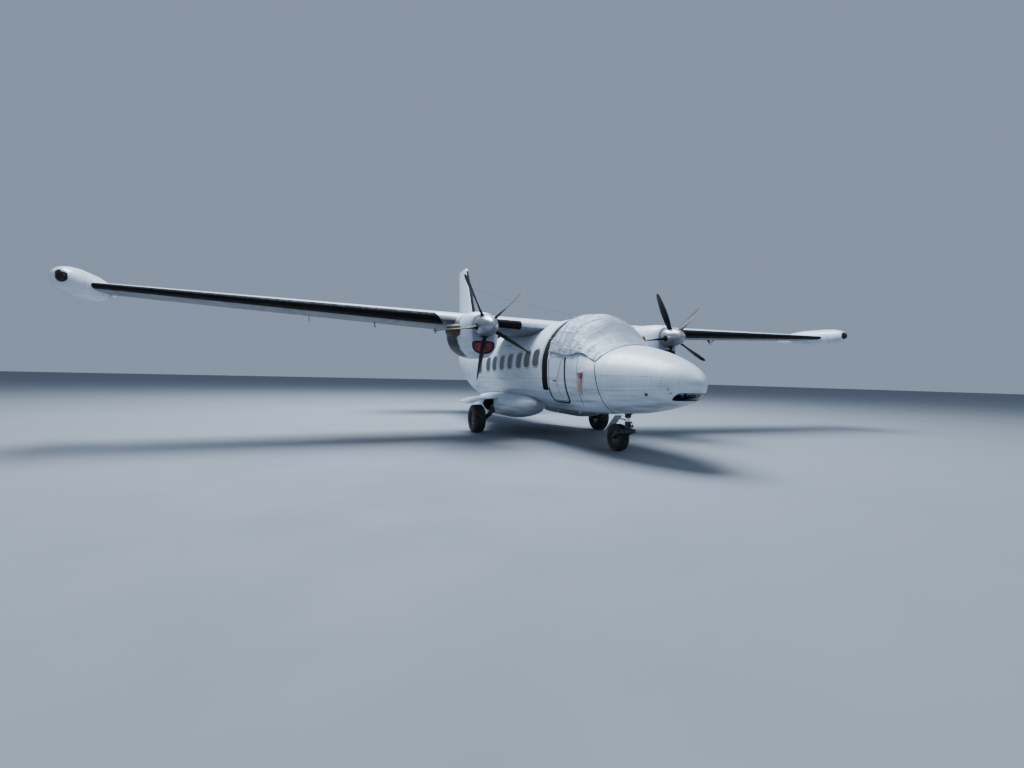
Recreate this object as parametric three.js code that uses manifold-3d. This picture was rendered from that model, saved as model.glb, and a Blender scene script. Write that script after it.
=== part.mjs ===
// A twin-turboprop, high-wing commuter airliner with tip tanks, parked on its landing gear with a
// fitted cover over the cockpit. Millimetres. X runs to the port wing tip, the nose points along -Y,
// and Z is up from the ground. A station is a distance aft of a datum just ahead of the nose tip.

import * as THREE from 'three';
import Module from 'manifold-3d';
import { mergeVertices } from 'three/addons/utils/BufferGeometryUtils.js';

const wasm = await Module();
wasm.setup();

// Driving dimensions of the whole aircraft
const LENGTH = 14424;
const NOSE_STATION = 100;
const TAIL_STATION = NOSE_STATION + LENGTH;
const HEIGHT = 5830;
const TRACK = 3650;
const MAIN_GEAR_STATION = 6060;
const NOSE_WHEEL_STATION = 2390;
const PROPELLER_STATION = 3700;
const PROPELLER_HEIGHT = 2500;
const PROPELLER_DIAMETER = 2300;
const ENGINE_SPACING = 4820;
const TOUCHING_GAP = 0.3;
const FITTING_GAP = 2;
const MOVING_GAP = 9;
const OVERCUT = 50;

const aft = (station) => station - (NOSE_STATION + TAIL_STATION) / 2;
const lerp = THREE.MathUtils.lerp;
const radians = THREE.MathUtils.degToRad;
const vector = (x, y, z) => new THREE.Vector3(x, y, z);

// Finishes

/** A painted, metal, rubber or cloth finish. */
function finish(colour, roughness, metalness) {
  return new THREE.MeshStandardMaterial({ color: colour, roughness, metalness });
}

const WHITE_PAINT = finish(0xe6e9ee, 0.38, 0.0);
const BLADE_BLACK = finish(0x1c1d1f, 0.4, 0.0);
const SPINNER_METAL = finish(0xd5d8dc, 0.25, 0.8);
const TYRE_RUBBER = finish(0x1b1b1c, 0.85, 0.0);
const GEAR_STEEL = finish(0x3b3c3e, 0.5, 0.7);
const WHEEL_METAL = finish(0x8f9296, 0.45, 0.8);
const ENGINE_STEEL = finish(0x6d5a45, 0.5, 0.8);
const COVER_CLOTH = finish(0xb9bec4, 0.7, 0.1);
const PLUG_CLOTH = finish(0xa31a20, 0.8, 0.0);
const LAMP_GLASS = finish(0x2a2d30, 0.1, 0.0);

// Solids

/** The geometry with its shared corners merged and its flat triangles dropped. */
function welded(geometry) {
  const bare = geometry.clone();
  bare.deleteAttribute('normal');
  bare.deleteAttribute('uv');
  const merged = mergeVertices(bare);
  const corners = [];
  for (let i = 0; i < merged.index.count; i += 3) {
    const [a, b, c] = [0, 1, 2].map((k) => merged.index.getX(i + k));
    if (a !== b && b !== c && c !== a) corners.push(a, b, c);
  }
  merged.setIndex(corners);
  return merged;
}

function solid(geometry) {
  const { attributes, index } = welded(geometry);
  return new wasm.Manifold(new wasm.Mesh({
    numProp: 3,
    vertProperties: new Float32Array(attributes.position.array),
    triVerts: new Uint32Array(index.array),
  }));
}

function geometryOf(body) {
  const mesh = body.getMesh();
  const points = new Float32Array(mesh.numVert * 3);
  for (let i = 0; i < mesh.numVert; i++) {
    for (let k = 0; k < 3; k++) points[3 * i + k] = mesh.vertProperties[mesh.numProp * i + k];
  }
  const geometry = new THREE.BufferGeometry();
  geometry.setAttribute('position', new THREE.BufferAttribute(points, 3));
  geometry.setIndex([...mesh.triVerts]);
  return geometry;
}

const joined = (...shapes) => geometryOf(shapes.map(solid).reduce((a, b) => a.add(b)));
const cut = (shape, ...tools) => geometryOf(
  tools.map(solid).reduce((rest, tool) => rest.subtract(tool), solid(shape)));
const common = (a, b) => geometryOf(solid(a).intersect(solid(b)));

/** The same geometry on the other side of the aircraft. */
function mirrored(geometry) {
  const other = welded(geometry).scale(-1, 1, 1);
  const corners = other.index.array;
  for (let i = 0; i < corners.length; i += 3) {
    [corners[i], corners[i + 1]] = [corners[i + 1], corners[i]];
  }
  return other;
}

/** A closed solid through rings of equally many points, with a flat cap on the first and last. */
function loft(rings) {
  const count = rings[0].length;
  const points = rings.flat();
  const middles = [rings[0], rings.at(-1)].map((ring) => ring
    .reduce((sum, p) => sum.add(p), vector(0, 0, 0)).divideScalar(count));
  const along = middles[1].clone().sub(middles[0]);
  const turn = vector(0, 0, 0);
  rings[0].forEach((p, i) => turn.add(
    p.clone().sub(middles[0]).cross(rings[0][(i + 1) % count].clone().sub(middles[0]))));
  const outward = turn.dot(along) > 0;
  const corners = [];
  const face = (a, b, c) => corners.push(a, ...(outward ? [b, c] : [c, b]));
  for (let r = 0; r + 1 < rings.length; r++) {
    for (let i = 0; i < count; i++) {
      const a = r * count + i;
      const b = r * count + ((i + 1) % count);
      face(a, b, b + count);
      face(a, b + count, a + count);
    }
  }
  const last = (rings.length - 1) * count;
  for (let i = 0; i < count; i++) {
    const next = (i + 1) % count;
    face(next, i, points.length);
    face(last + i, last + next, points.length + 1);
  }
  const geometry = new THREE.BufferGeometry().setFromPoints([...points, ...middles]);
  geometry.setIndex(corners);
  return geometry;
}

/** A box between two corners. */
function box(low, high) {
  const size = high.clone().sub(low);
  const middle = low.clone().add(high).divideScalar(2);
  return new THREE.BoxGeometry(size.x, size.y, size.z).translate(middle.x, middle.y, middle.z);
}

/** A round bar from one point to another. */
function bar(from, to, radius, sides = 12) {
  const along = to.clone().sub(from);
  const middle = from.clone().add(to).divideScalar(2);
  const turn = new THREE.Quaternion().setFromUnitVectors(vector(0, 1, 0), along.clone().normalize());
  return new THREE.CylinderGeometry(radius, radius, along.length(), sides)
    .applyQuaternion(turn).translate(middle.x, middle.y, middle.z);
}

/** A solid of revolution about X, from a profile of radius and width pairs that closes on itself. */
function wheelLathe(profile, centre, segments) {
  const points = profile.map(([radius, across]) => new THREE.Vector2(radius, across));
  return new THREE.LatheGeometry(points, segments)
    .rotateY(Math.PI / segments).rotateZ(-Math.PI / 2).rotateX(Math.PI / 2)
    .translate(centre.x, centre.y, centre.z);
}

/** A solid of revolution about Y, from a profile of station and radius pairs that ends on the axis. */
function bodyLathe(profile, axis, segments) {
  const points = profile.map(([station, radius]) => new THREE.Vector2(radius, aft(station)));
  return new THREE.LatheGeometry(points, segments).translate(axis.x, 0, axis.z);
}

/** The oval section of a hull at a station, with its own curve above and below its widest line. */
function ovalRing({ station, x = 0, halfWidth, bottom, widest, top, upper, lower }, points, power) {
  return Array.from({ length: points }, (_, i) => {
    const angle = (2 * Math.PI * (i + 0.5)) / points;
    const curve = 2 / ((angle < Math.PI ? upper : lower) ?? power);
    const across = Math.sign(Math.cos(angle)) * Math.abs(Math.cos(angle)) ** curve;
    const up = Math.sign(Math.sin(angle)) * Math.abs(Math.sin(angle)) ** curve;
    const reach = up > 0 ? top - widest : widest - bottom;
    return vector(x + halfWidth * across, aft(station), widest + reach * up);
  });
}

/** Rows of a table as objects with the named columns. */
function table(columns, rows) {
  return rows.map((row) => Object.fromEntries(columns.map((name, i) => [name, row[i]])));
}

// Fuselage

const HULL_POINTS = 28;
const HULL = table(['station', 'halfWidth', 'bottom', 'widest', 'top', 'upper', 'lower'], [
  [NOSE_STATION, 40, 1360, 1400, 1440, 2.1, 2.35],
  [165, 150, 1255, 1400, 1520, 2.05, 2.35],
  [310, 325, 1145, 1400, 1640, 2, 2.35],
  [550, 510, 1045, 1400, 1765, 1.98, 2.35],
  [900, 685, 955, 1420, 1899, 1.98, 2.35],
  [1275, 825, 875, 1460, 2008, 1.94, 2.35],
  [1650, 925, 810, 1510, 2088, 1.87, 2.4],
  [2000, 990, 775, 1560, 2151, 1.73, 2.6],
  [2350, 1015, 745, 1620, 2371, 1.71, 2.8],
  [2700, 1030, 730, 1680, 2688, 1.83, 3],
  [3050, 1038, 730, 1720, 2800, 1.88, 3.2],
  [3500, 1040, 730, 1750, 2850, 1.88, 3.2],
  [8600, 1040, 730, 1750, 2850, 1.88, 3.2],
  [9600, 1010, 840, 1800, 2846, 1.9, 2.9],
  [10900, 870, 1150, 1900, 2832, 2, 2.35],
  [12100, 640, 1580, 2080, 2800, 2.2, 2.35],
  [13300, 350, 2010, 2330, 2750, 2.35, 2.35],
  [14100, 130, 2270, 2480, 2700, 2.35, 2.35],
]);
const NOSE_JOINT = 1650;
const CABIN_END = 9600;
const REAR_WALL = 40;
const REAR_HOLLOW_END = 13700;
const HOLD_FRONT = 7900;
const HOLD_WALL = 110;

/** The whole fuselage body, drawn in from its skin by an inset, between two stations. */
function hull(inset = 0, from = 0, to = TAIL_STATION) {
  const at = (station) => {
    const next = HULL.findIndex((row) => row.station >= station);
    const [a, b] = [HULL[Math.max(next - 1, 0)], HULL[next]];
    const part = a === b ? 0 : (station - a.station) / (b.station - a.station);
    return Object.fromEntries(Object.keys(b).map((key) => [key, lerp(a[key], b[key], part)]));
  };
  const first = Math.max(from, HULL[0].station);
  const last = Math.min(to, HULL.at(-1).station);
  const rows = [at(first), ...HULL.filter((r) => r.station > first && r.station < last), at(last)];
  return loft(rows.map((row) => ovalRing({
    ...row,
    halfWidth: row.halfWidth - inset,
    bottom: row.bottom + inset,
    top: row.top - inset,
  }, HULL_POINTS)));
}

// Doors. Each is a panel of the hull's skin in a recess with its edges drawn in a little inward.
const DOOR_THICKNESS = 40;
const DOOR_TAPER = 14;
const DOOR_CORNER = 130;
const DOOR_GAP = 10;
const DOOR_PRISM_ENDS = [550, 1150];
const DOORS = {
  crew_door: { side: -1, from: 2850, to: 3510, bottom: 985, top: 1885 },
  passenger_door: { side: 1, from: 8690, to: 9450, bottom: 1000, top: 2460 },
  cargo_door: { side: 1, from: 8186, to: 8676, bottom: 1000, top: 2460 },
};
const DOORWAYS = [DOORS.crew_door, { ...DOORS.cargo_door, to: DOORS.passenger_door.to }];

/** The tapered prism through the skin that cuts a door or its recess. */
function doorPrism(door, grow) {
  const outline = (x, inward) => {
    const shape = new THREE.Shape();
    const [a, b] = [aft(door.from) - grow + inward, aft(door.to) + grow - inward];
    const [c, d] = [door.bottom - grow + inward, door.top + grow - inward];
    const r = DOOR_CORNER;
    shape.moveTo(a + r, c).lineTo(b - r, c).absarc(b - r, c + r, r, -Math.PI / 2, 0)
      .lineTo(b, d - r).absarc(b - r, d - r, r, 0, Math.PI / 2)
      .lineTo(a + r, d).absarc(a + r, d - r, r, Math.PI / 2, Math.PI)
      .lineTo(a, c + r).absarc(a + r, c + r, r, Math.PI, 1.5 * Math.PI);
    const points = shape.getPoints(4);
    const apart = points.filter((p, i) => p.distanceTo(points.at(i - 1)) > 1);
    return apart.map((p) => vector(door.side * x, p.x, p.y));
  };
  const [inner, outer] = DOOR_PRISM_ENDS;
  return loft([outline(inner, DOOR_TAPER), outline(outer, 0)]);
}

const cabinCore = (inset) => hull(inset, NOSE_JOINT, CABIN_END);
const doorSkin = cut(cabinCore(0), cabinCore(DOOR_THICKNESS));
const doorPanels = Object.fromEntries(
  Object.entries(DOORS).map(([name, door]) => [name, common(doorSkin, doorPrism(door, 0))]));
const doorRecesses = DOORWAYS.map(
  (door) => cut(doorPrism(door, DOOR_GAP), cabinCore(DOOR_THICKNESS + DOOR_GAP)));

// Flying surfaces

/** Half the thickness of a rounded, blunt-tailed section at a fraction of its chord. */
function halfThickness(fraction) {
  const f = Math.min(Math.max(fraction, 0), 1);
  return 5 * (0.2969 * Math.sqrt(f) - 0.126 * f - 0.3516 * f ** 2 + 0.2843 * f ** 3 - 0.1015 * f ** 4);
}

const COVE_REACH = 150;
const COVE_END = 1.15;

/** A straight-tapered surface between a root and a tip section, ruled from one to the other. */
class Surface {
  constructor({ root, tip, chordward, thickward, camber = 0 }) {
    Object.assign(this, { root, tip, chordward, thickward, camber });
  }

  /** The chord or thickness of the section at a part of the span. */
  size(name, part) {
    return lerp(this.root[name], this.tip[name], part);
  }

  /** The height of the middle line at a fraction of the chord. */
  middle(part, fraction) {
    return 4 * this.camber * fraction * (1 - fraction) * this.size('chord', part);
  }

  point(part, fraction, height) {
    return this.root.lead.clone().lerp(this.tip.lead, part)
      .addScaledVector(this.chordward, fraction * this.size('chord', part))
      .addScaledVector(this.thickward, height);
  }

  /** A point on the upper (+1) or lower (-1) face, moved out by a growth. */
  face(part, fraction, side, grow = 0) {
    const reach = halfThickness(fraction) * this.size('thickness', part) + grow;
    return this.point(part, fraction + ((2 * fraction - 1) * grow) / this.size('chord', part),
      this.middle(part, Math.min(Math.max(fraction, 0), 1)) + side * reach);
  }

  section(part, grow = 0, steps = 9) {
    const fractions = Array.from({ length: steps + 1 },
      (_, i) => (1 - Math.cos((Math.PI * i) / steps)) / 2);
    const upper = fractions.slice(1).reverse().map((f) => this.face(part, f, 1, grow));
    const nose = this.point(part, -grow / this.size('chord', part), 0);
    const lower = fractions.slice(1).map((f) => this.face(part, f, -1, grow));
    return [...upper, nose, ...lower];
  }

  panel(from, to, grow = 0) {
    return loft([this.section(from, grow), this.section(to, grow)]);
  }

  /** The point of a hinge line, dropped below the middle line for an outside hinge. */
  hinge(part, fraction, drop = 0) {
    return this.point(part, fraction, this.middle(part, fraction) - drop);
  }

  noseRadius(part, fraction) {
    return halfThickness(fraction) * this.size('thickness', part);
  }

  /** The moving part behind a hinge fraction, with a round nose about the hinge. */
  mover(from, to, fraction) {
    return loft([from, to].map((part) => {
      const radius = this.noseRadius(part, fraction);
      const backs = [1, 0.93, 0.82].map((k) => lerp(fraction, 1, k));
      const nose = [90, 125, 160, 200, 235, 270].map((degrees) => {
        const reach = (radius * Math.cos(radians(degrees))) / this.size('chord', part);
        return this.point(part, fraction + reach,
          this.middle(part, fraction) + radius * Math.sin(radians(degrees)));
      });
      return [...backs.map((f) => this.face(part, f, 1)), ...nose,
        ...backs.toReversed().map((f) => this.face(part, f, -1))];
    }));
  }

  /** The space that a moving part needs, a gap larger all round and open behind. */
  cove(from, to, fraction, gap) {
    return loft([from, to].map((part) => {
      const radius = this.noseRadius(part, fraction) + gap;
      const chord = this.size('chord', part);
      const middle = this.middle(part, fraction);
      const reach = radius + COVE_REACH;
      const far = [[reach, fraction], [reach, COVE_END], [-reach, COVE_END], [-reach, fraction]]
        .map(([height, f]) => this.point(part, f, middle + height));
      const nose = [270, 250, 230, 210, 190, 170, 150, 130, 110, 90].map((degrees) => this.point(part,
        fraction + (radius * Math.cos(radians(degrees))) / chord,
        middle + radius * Math.sin(radians(degrees))));
      return [...far, ...nose];
    }));
  }
}

// Wing
const WING_HALF_SPAN = 9740;
const WING_QUARTER_STATION = 5333;
const WING_ROOT_CHORD = 2534;
const WING_TIP_CHORD = 1100;
const WING_ROOT_THICKNESS = 0.18;
const WING_TIP_THICKNESS = 0.12;
const WING_CAMBER = 0.022;
const WING_LEAD_HEIGHT = 2660;
const WING_DIHEDRAL = radians(1.75);
const WING_INCIDENCE = radians(2);
const WING_JOINT = ENGINE_SPACING / 2;
const OUTER_WING_END = 9600;

const wing = new Surface({
  root: {
    lead: vector(0, aft(WING_QUARTER_STATION - WING_ROOT_CHORD / 4), WING_LEAD_HEIGHT),
    chord: WING_ROOT_CHORD,
    thickness: WING_ROOT_THICKNESS * WING_ROOT_CHORD,
  },
  tip: {
    lead: vector(WING_HALF_SPAN, aft(WING_QUARTER_STATION - WING_TIP_CHORD / 4),
      WING_LEAD_HEIGHT + WING_HALF_SPAN * Math.tan(WING_DIHEDRAL)),
    chord: WING_TIP_CHORD,
    thickness: WING_TIP_THICKNESS * WING_TIP_CHORD,
  },
  chordward: vector(0, Math.cos(WING_INCIDENCE), -Math.sin(WING_INCIDENCE)),
  thickward: vector(0, Math.sin(WING_INCIDENCE), Math.cos(WING_INCIDENCE)),
  camber: WING_CAMBER,
});
const span = (x) => x / WING_HALF_SPAN;

const FLAP_HINGE = 0.7;
const FLAP_DROP = 200;
const AILERON_HINGE = 0.72;
const INNER_FLAP = [1150, 2130];
const OUTER_FLAP = [2690, 6065];
const FLAP_END_GAP = 26;
const AILERON = [6130, 9300];
const HINGE_ARM = 14;
const HINGE_EYE = 28;
const ARM_ROOT = 0.12;
const ARM_SLOPE = 40;
const ARM_CLEAR_OF_COVE = 12;
const BRACKET_ROOT = [0.12, 0.26];
const BRACKET_BESIDE_ARM = 8;

/** A flat plate across X from an outline in Y and Z. */
function sidePlate(outline, x, thickness) {
  return new THREE.ExtrudeGeometry(outline, { depth: thickness, bevelEnabled: false, curveSegments: 6 })
    .applyMatrix4(new THREE.Matrix4().makeBasis(vector(0, 1, 0), vector(0, 0, 1), vector(1, 0, 0)))
    .translate(x, 0, 0);
}

/** One arm that carries a flap below the wing, from the flap's nose down to the hinge line. */
function flapArm(x) {
  const part = span(x);
  const hinge = wing.hinge(part, FLAP_HINGE, FLAP_DROP);
  const back = wing.hinge(part, FLAP_HINGE + ARM_ROOT);
  const front = wing.hinge(part, FLAP_HINGE).y + ARM_CLEAR_OF_COVE;
  const outline = new THREE.Shape();
  outline.absarc(hinge.y, hinge.z, HINGE_EYE, Math.PI, 2 * Math.PI);
  outline.lineTo(back.y, back.z).lineTo(front, back.z).lineTo(front, hinge.z + ARM_SLOPE);
  return sidePlate(outline, x, HINGE_ARM);
}

/** The bracket on the wing beside a flap arm, reaching back to the same hinge line. */
function wingBracket(x) {
  const part = span(x);
  const hinge = wing.hinge(part, FLAP_HINGE, FLAP_DROP);
  const [top, front] = BRACKET_ROOT.map((ahead) => wing.hinge(part, FLAP_HINGE - ahead));
  const outline = new THREE.Shape();
  outline.absarc(hinge.y, hinge.z, HINGE_EYE, -Math.PI / 2, Math.PI / 2);
  outline.lineTo(top.y, top.z).lineTo(front.y, front.z);
  return sidePlate(outline, x - HINGE_ARM - BRACKET_BESIDE_ARM, HINGE_ARM);
}

const flapArms = { inner: [1300, 1960], outer: [2900, 4400, 5860] };
const movers = {
  flap_inner: joined(wing.mover(...INNER_FLAP.map(span), FLAP_HINGE),
    ...flapArms.inner.map(flapArm)),
  flap_outer: joined(wing.mover(...OUTER_FLAP.map(span), FLAP_HINGE),
    ...flapArms.outer.map(flapArm)),
  aileron: wing.mover(...AILERON.map(span), AILERON_HINGE),
};
const widened = ([from, to], gap, endGap = gap) => [span(from - gap), span(to + endGap)];

// Tip tank
const TANK_RADIUS = 250;
const TANK_ABOVE_CHORD = 15;
const TANK_HEIGHT = WING_LEAD_HEIGHT + WING_HALF_SPAN * Math.tan(WING_DIHEDRAL) + TANK_ABOVE_CHORD;
const TANK = [[4380, 0], [4395, 60], [4470, 130], [4640, 196], [4900, 236], [5200, TANK_RADIUS],
  [5700, TANK_RADIUS], [6150, 222], [6550, 145], [6850, 50], [6880, 0]];
const tank = (grow) => bodyLathe(
  TANK.map(([station, radius], i) => [
    station + (i === 0 ? -grow : 0) + (i === TANK.length - 1 ? grow : 0),
    radius === 0 ? 0 : radius + grow]),
  vector(WING_HALF_SPAN, 0, TANK_HEIGHT), 16);

const wingCentreHalf = joined(cut(wing.panel(0, span(WING_JOINT - TOUCHING_GAP / 2)),
  wing.cove(...widened(INNER_FLAP, MOVING_GAP, FLAP_END_GAP), FLAP_HINGE, MOVING_GAP)),
...flapArms.inner.map(wingBracket));

// A flat pad under each outer wing, where a mooring ring or a jack is fastened
const PAD_SPAN = 5200;
const PAD_FRACTION = 0.36;
const PAD_SIZE = 110;
const PAD_BELOW_SKIN = 22;
const PAD_ROOT = 40;
const padMiddle = wing.face(span(PAD_SPAN), PAD_FRACTION, -1);
const wingPad = box(
  padMiddle.clone().add(vector(-PAD_SIZE / 2, -PAD_SIZE / 2, -PAD_BELOW_SKIN)),
  padMiddle.clone().add(vector(PAD_SIZE / 2, PAD_SIZE / 2, PAD_ROOT)));
const outerWing = joined(cut(wing.panel(span(WING_JOINT + TOUCHING_GAP / 2), span(OUTER_WING_END)),
  wing.cove(...widened(OUTER_FLAP, MOVING_GAP, FLAP_END_GAP), FLAP_HINGE, MOVING_GAP),
  wing.cove(...widened(AILERON, MOVING_GAP), AILERON_HINGE, MOVING_GAP),
  tank(TOUCHING_GAP)), wingPad, ...flapArms.outer.map(wingBracket));

// Engine, cowling and propeller
const ENGINE_AXIS = vector(WING_JOINT, 0, PROPELLER_HEIGHT);
const COWL = table(['station', 'halfWidth', 'bottom', 'widest', 'top'], [
  [3905, 290, 1895, 2420, 2770],
  [3980, 345, 1850, 2410, 2810],
  [4200, 415, 1835, 2400, 2850],
  [4700, 440, 1840, 2400, 2870],
  [5200, 430, 1910, 2420, 2865],
  [5700, 350, 2090, 2460, 2820],
  [6050, 240, 2280, 2500, 2760],
  [6240, 130, 2400, 2520, 2680],
]);
const COWL_POINTS = 20;
const COWL_POWER = 2.5;
const COWL_WALL = 25;
const ENGINE_BAY = { from: 4300, to: 5180, halfWidth: 320, bottom: 2100, top: 2815 };
const SHAFT_HOLE = { from: 3800, to: 4100, radius: 205 };
const SHAFT = { from: 3910, to: 4000, radius: 60 };
const GEARBOX = { from: 3990, to: 4270, radius: 190 };
const CORE = { from: 4250, to: 5160, radius: 280 };
const ACCESSORIES = { from: 5000, to: 5575, halfWidth: 200, bottom: 2210, top: 2500 };
const INTAKE_POWER = 2.6;
const INTAKE = table(['station', 'halfWidth', 'bottom', 'widest', 'top'], [
  [3880, 235, 1935, 2060, 2190],
  [4150, 205, 1965, 2060, 2160],
]);
const STUB_HEIGHT = 2445;
const STUB_HALF_WIDTH = 95;
const STUB_HALF_HEIGHT = 125;
const STUB_POINTS = 12;
const STUB_PATH = table(['out', 'station', 'turn'], [
  [150, 4270, 0],
  [330, 4290, 8],
  [450, 4360, 25],
  [535, 4480, 50],
  [575, 4620, 68],
]);
const STUB_HOLE = { from: 4080, to: 4480, inner: 100, outer: 500, bottom: 2290, top: 2600 };
const NACELLE_HALF_SPAN = 700;

const aboutEngine = (rows, points, power) => loft(
  rows.map((row) => ovalRing({ ...row, x: WING_JOINT }, points, power)));
const alongShaft = ({ from, to, radius }, sides = 16) => bar(
  vector(WING_JOINT, aft(from), PROPELLER_HEIGHT), vector(WING_JOINT, aft(to), PROPELLER_HEIGHT),
  radius, sides);
const underWing = ({ from, to, halfWidth, bottom, top }) => box(
  vector(WING_JOINT - halfWidth, aft(from), bottom), vector(WING_JOINT + halfWidth, aft(to), top));

const engineBay = underWing(ENGINE_BAY);
const cowlHollow = aboutEngine(COWL.slice(1, 6).map((row) => ({
  ...row,
  halfWidth: row.halfWidth - COWL_WALL,
  bottom: row.bottom + COWL_WALL,
  top: row.top - COWL_WALL,
})), COWL_POINTS, COWL_POWER);
const stubHoles = [-1, 1].map((side) => box(
  vector(WING_JOINT + Math.min(side * STUB_HOLE.inner, side * STUB_HOLE.outer), aft(STUB_HOLE.from),
    STUB_HOLE.bottom),
  vector(WING_JOINT + Math.max(side * STUB_HOLE.inner, side * STUB_HOLE.outer), aft(STUB_HOLE.to),
    STUB_HOLE.top)));

/** One exhaust stub, from the engine out through the side of the cowling and bent aft. */
function exhaustStub(side) {
  return loft(STUB_PATH.map(({ out, station, turn }) => {
    const flat = vector(-Math.sin(radians(turn)), side * Math.cos(radians(turn)), 0);
    return Array.from({ length: STUB_POINTS }, (_, i) => {
      const angle = (2 * Math.PI * i) / STUB_POINTS;
      return vector(WING_JOINT + side * out, aft(station), STUB_HEIGHT)
        .addScaledVector(flat, STUB_HALF_WIDTH * Math.cos(angle))
        .add(vector(0, 0, STUB_HALF_HEIGHT * Math.sin(angle)));
    });
  }));
}

const engine = joined(alongShaft(GEARBOX), alongShaft(CORE), alongShaft(SHAFT, 12),
  underWing(ACCESSORIES), exhaustStub(-1), exhaustStub(1));
const nacelle = cut(aboutEngine(COWL, COWL_POINTS, COWL_POWER), cowlHollow,
  aboutEngine(INTAKE, COWL_POINTS, INTAKE_POWER), alongShaft(SHAFT_HOLE, 20), ...stubHoles,
  wing.panel(span(WING_JOINT - NACELLE_HALF_SPAN), span(WING_JOINT + NACELLE_HALF_SPAN), FITTING_GAP));

const BLADE_COUNT = 5;
const FIRST_BLADE = radians(116);
const BLADE = table(['radius', 'chord', 'thickness', 'turn'], [
  [100, 95, 80, 30],
  [250, 105, 62, 26],
  [420, 165, 40, 16],
  [700, 205, 24, 6],
  [950, 185, 16, -2],
  [1100, 130, 11, -6],
  [PROPELLER_DIAMETER / 2, 55, 8, -8],
]);
const BLADE_POINTS = 8;
const SPINNER_BACK = 3885;
const HUB = { from: 3590, to: SPINNER_BACK, radius: 140 };
const HUB_HOLE_RADIUS = 143;
const BLADE_HOLE = { from: 150, to: 300, radius: 75 };
const SPINNER_SHELL = [[3300, 0], [3315, 45], [3380, 115], [3490, 178], [3630, 222], [3760, 245],
  [SPINNER_BACK, 245], [SPINNER_BACK, 0]];
const SPINNER_HOLLOW = [[3500, 0], [3510, 150], [3630, 205], [3860, 225], [3860, HUB_HOLE_RADIUS],
  [SPINNER_BACK + OVERCUT, HUB_HOLE_RADIUS], [SPINNER_BACK + OVERCUT, 0]];

/** One feathered blade standing up from the hub, its chord along the engine's axis. */
function blade(angle) {
  const rings = BLADE.map(({ radius, chord, thickness, turn }) =>
    Array.from({ length: BLADE_POINTS }, (_, i) => {
      const round = (2 * Math.PI * i) / BLADE_POINTS;
      const p = vector((thickness / 2) * Math.sin(round), (chord / 2) * Math.cos(round), radius);
      return p.applyAxisAngle(vector(0, 0, 1), radians(turn));
    }));
  return loft(rings).rotateY(Math.PI / 2 - angle)
    .translate(WING_JOINT, aft(PROPELLER_STATION), PROPELLER_HEIGHT);
}

/** Spinner and propeller turned to the same blade angles on one engine. */
function propellerParts(first) {
  const angles = Array.from({ length: BLADE_COUNT }, (_, i) => first + (2 * Math.PI * i) / BLADE_COUNT);
  const hole = (angle) => {
    const out = vector(Math.cos(angle), 0, Math.sin(angle));
    const middle = vector(WING_JOINT, aft(PROPELLER_STATION), PROPELLER_HEIGHT);
    return bar(middle.clone().addScaledVector(out, BLADE_HOLE.from),
      middle.clone().addScaledVector(out, BLADE_HOLE.to), BLADE_HOLE.radius, 8);
  };
  return {
    propeller: joined(alongShaft(HUB), ...angles.map(blade)),
    spinner: cut(bodyLathe(SPINNER_SHELL, ENGINE_AXIS, 20), bodyLathe(SPINNER_HOLLOW, ENGINE_AXIS, 16),
      ...angles.map(hole)),
  };
}

// The port engine is the mirror of one whose blades stand at the mirrored angles.
const starboardSet = propellerParts(Math.PI - FIRST_BLADE);
const portSet = propellerParts(FIRST_BLADE);

// Tail
const TAILPLANE_HALF_SPAN = 3368;
const TAILPLANE_DIHEDRAL = radians(7);
const TAILPLANE_ROOT = 40;
const TAILPLANE_HEIGHT = 3180;
const TAILPLANE_LEADS = [12150, 12600];
const TAILPLANE_CHORDS = [1800, 1020];
const TAILPLANE_THICKNESSES = [215, 100];
const ELEVATOR_HINGE = 0.66;
const ELEVATOR = [430, 3300];
const ELEVATOR_COVE = [-70, 3500];
const tailplaneRise = (x) => (x - TAILPLANE_ROOT) * Math.tan(TAILPLANE_DIHEDRAL);
const [tailplaneRoot, tailplaneTip] = [TAILPLANE_ROOT, TAILPLANE_HALF_SPAN].map((x, i) => ({
  lead: vector(x, aft(TAILPLANE_LEADS[i]), TAILPLANE_HEIGHT + tailplaneRise(x)),
  chord: TAILPLANE_CHORDS[i],
  thickness: TAILPLANE_THICKNESSES[i],
}));
const tailplane = new Surface({
  root: tailplaneRoot,
  tip: tailplaneTip,
  chordward: vector(0, 1, 0),
  thickward: vector(0, 0, 1),
});
const tailSpan = (x) => (x - TAILPLANE_ROOT) / (TAILPLANE_HALF_SPAN - TAILPLANE_ROOT);

const FIN_FOOT = 2500;
const FIN_LEADS = [11430, 13380];
const FIN_CHORDS = [2790, TAIL_STATION - 13380];
const FIN_THICKNESSES = [300, 120];
const RUDDER_HINGE = 0.6;
const RUDDER_FOOT = 2560;
const RUDDER_COVE = [2300, HEIGHT + 100];
const [finRoot, finTip] = [FIN_FOOT, HEIGHT].map((z, i) => ({
  lead: vector(0, aft(FIN_LEADS[i]), z),
  chord: FIN_CHORDS[i],
  thickness: FIN_THICKNESSES[i],
}));
const fin = new Surface({
  root: finRoot,
  tip: finTip,
  chordward: vector(0, 1, 0),
  thickward: vector(1, 0, 0),
});
const rise = (z) => (z - FIN_FOOT) / (HEIGHT - FIN_FOOT);

const finPanel = fin.panel(0, 1);
const finSpace = fin.panel(0, 1, FITTING_GAP);
const rudder = fin.mover(rise(RUDDER_FOOT), 1, RUDDER_HINGE);
const rudderCove = fin.cove(...RUDDER_COVE.map(rise), RUDDER_HINGE, MOVING_GAP);

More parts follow.
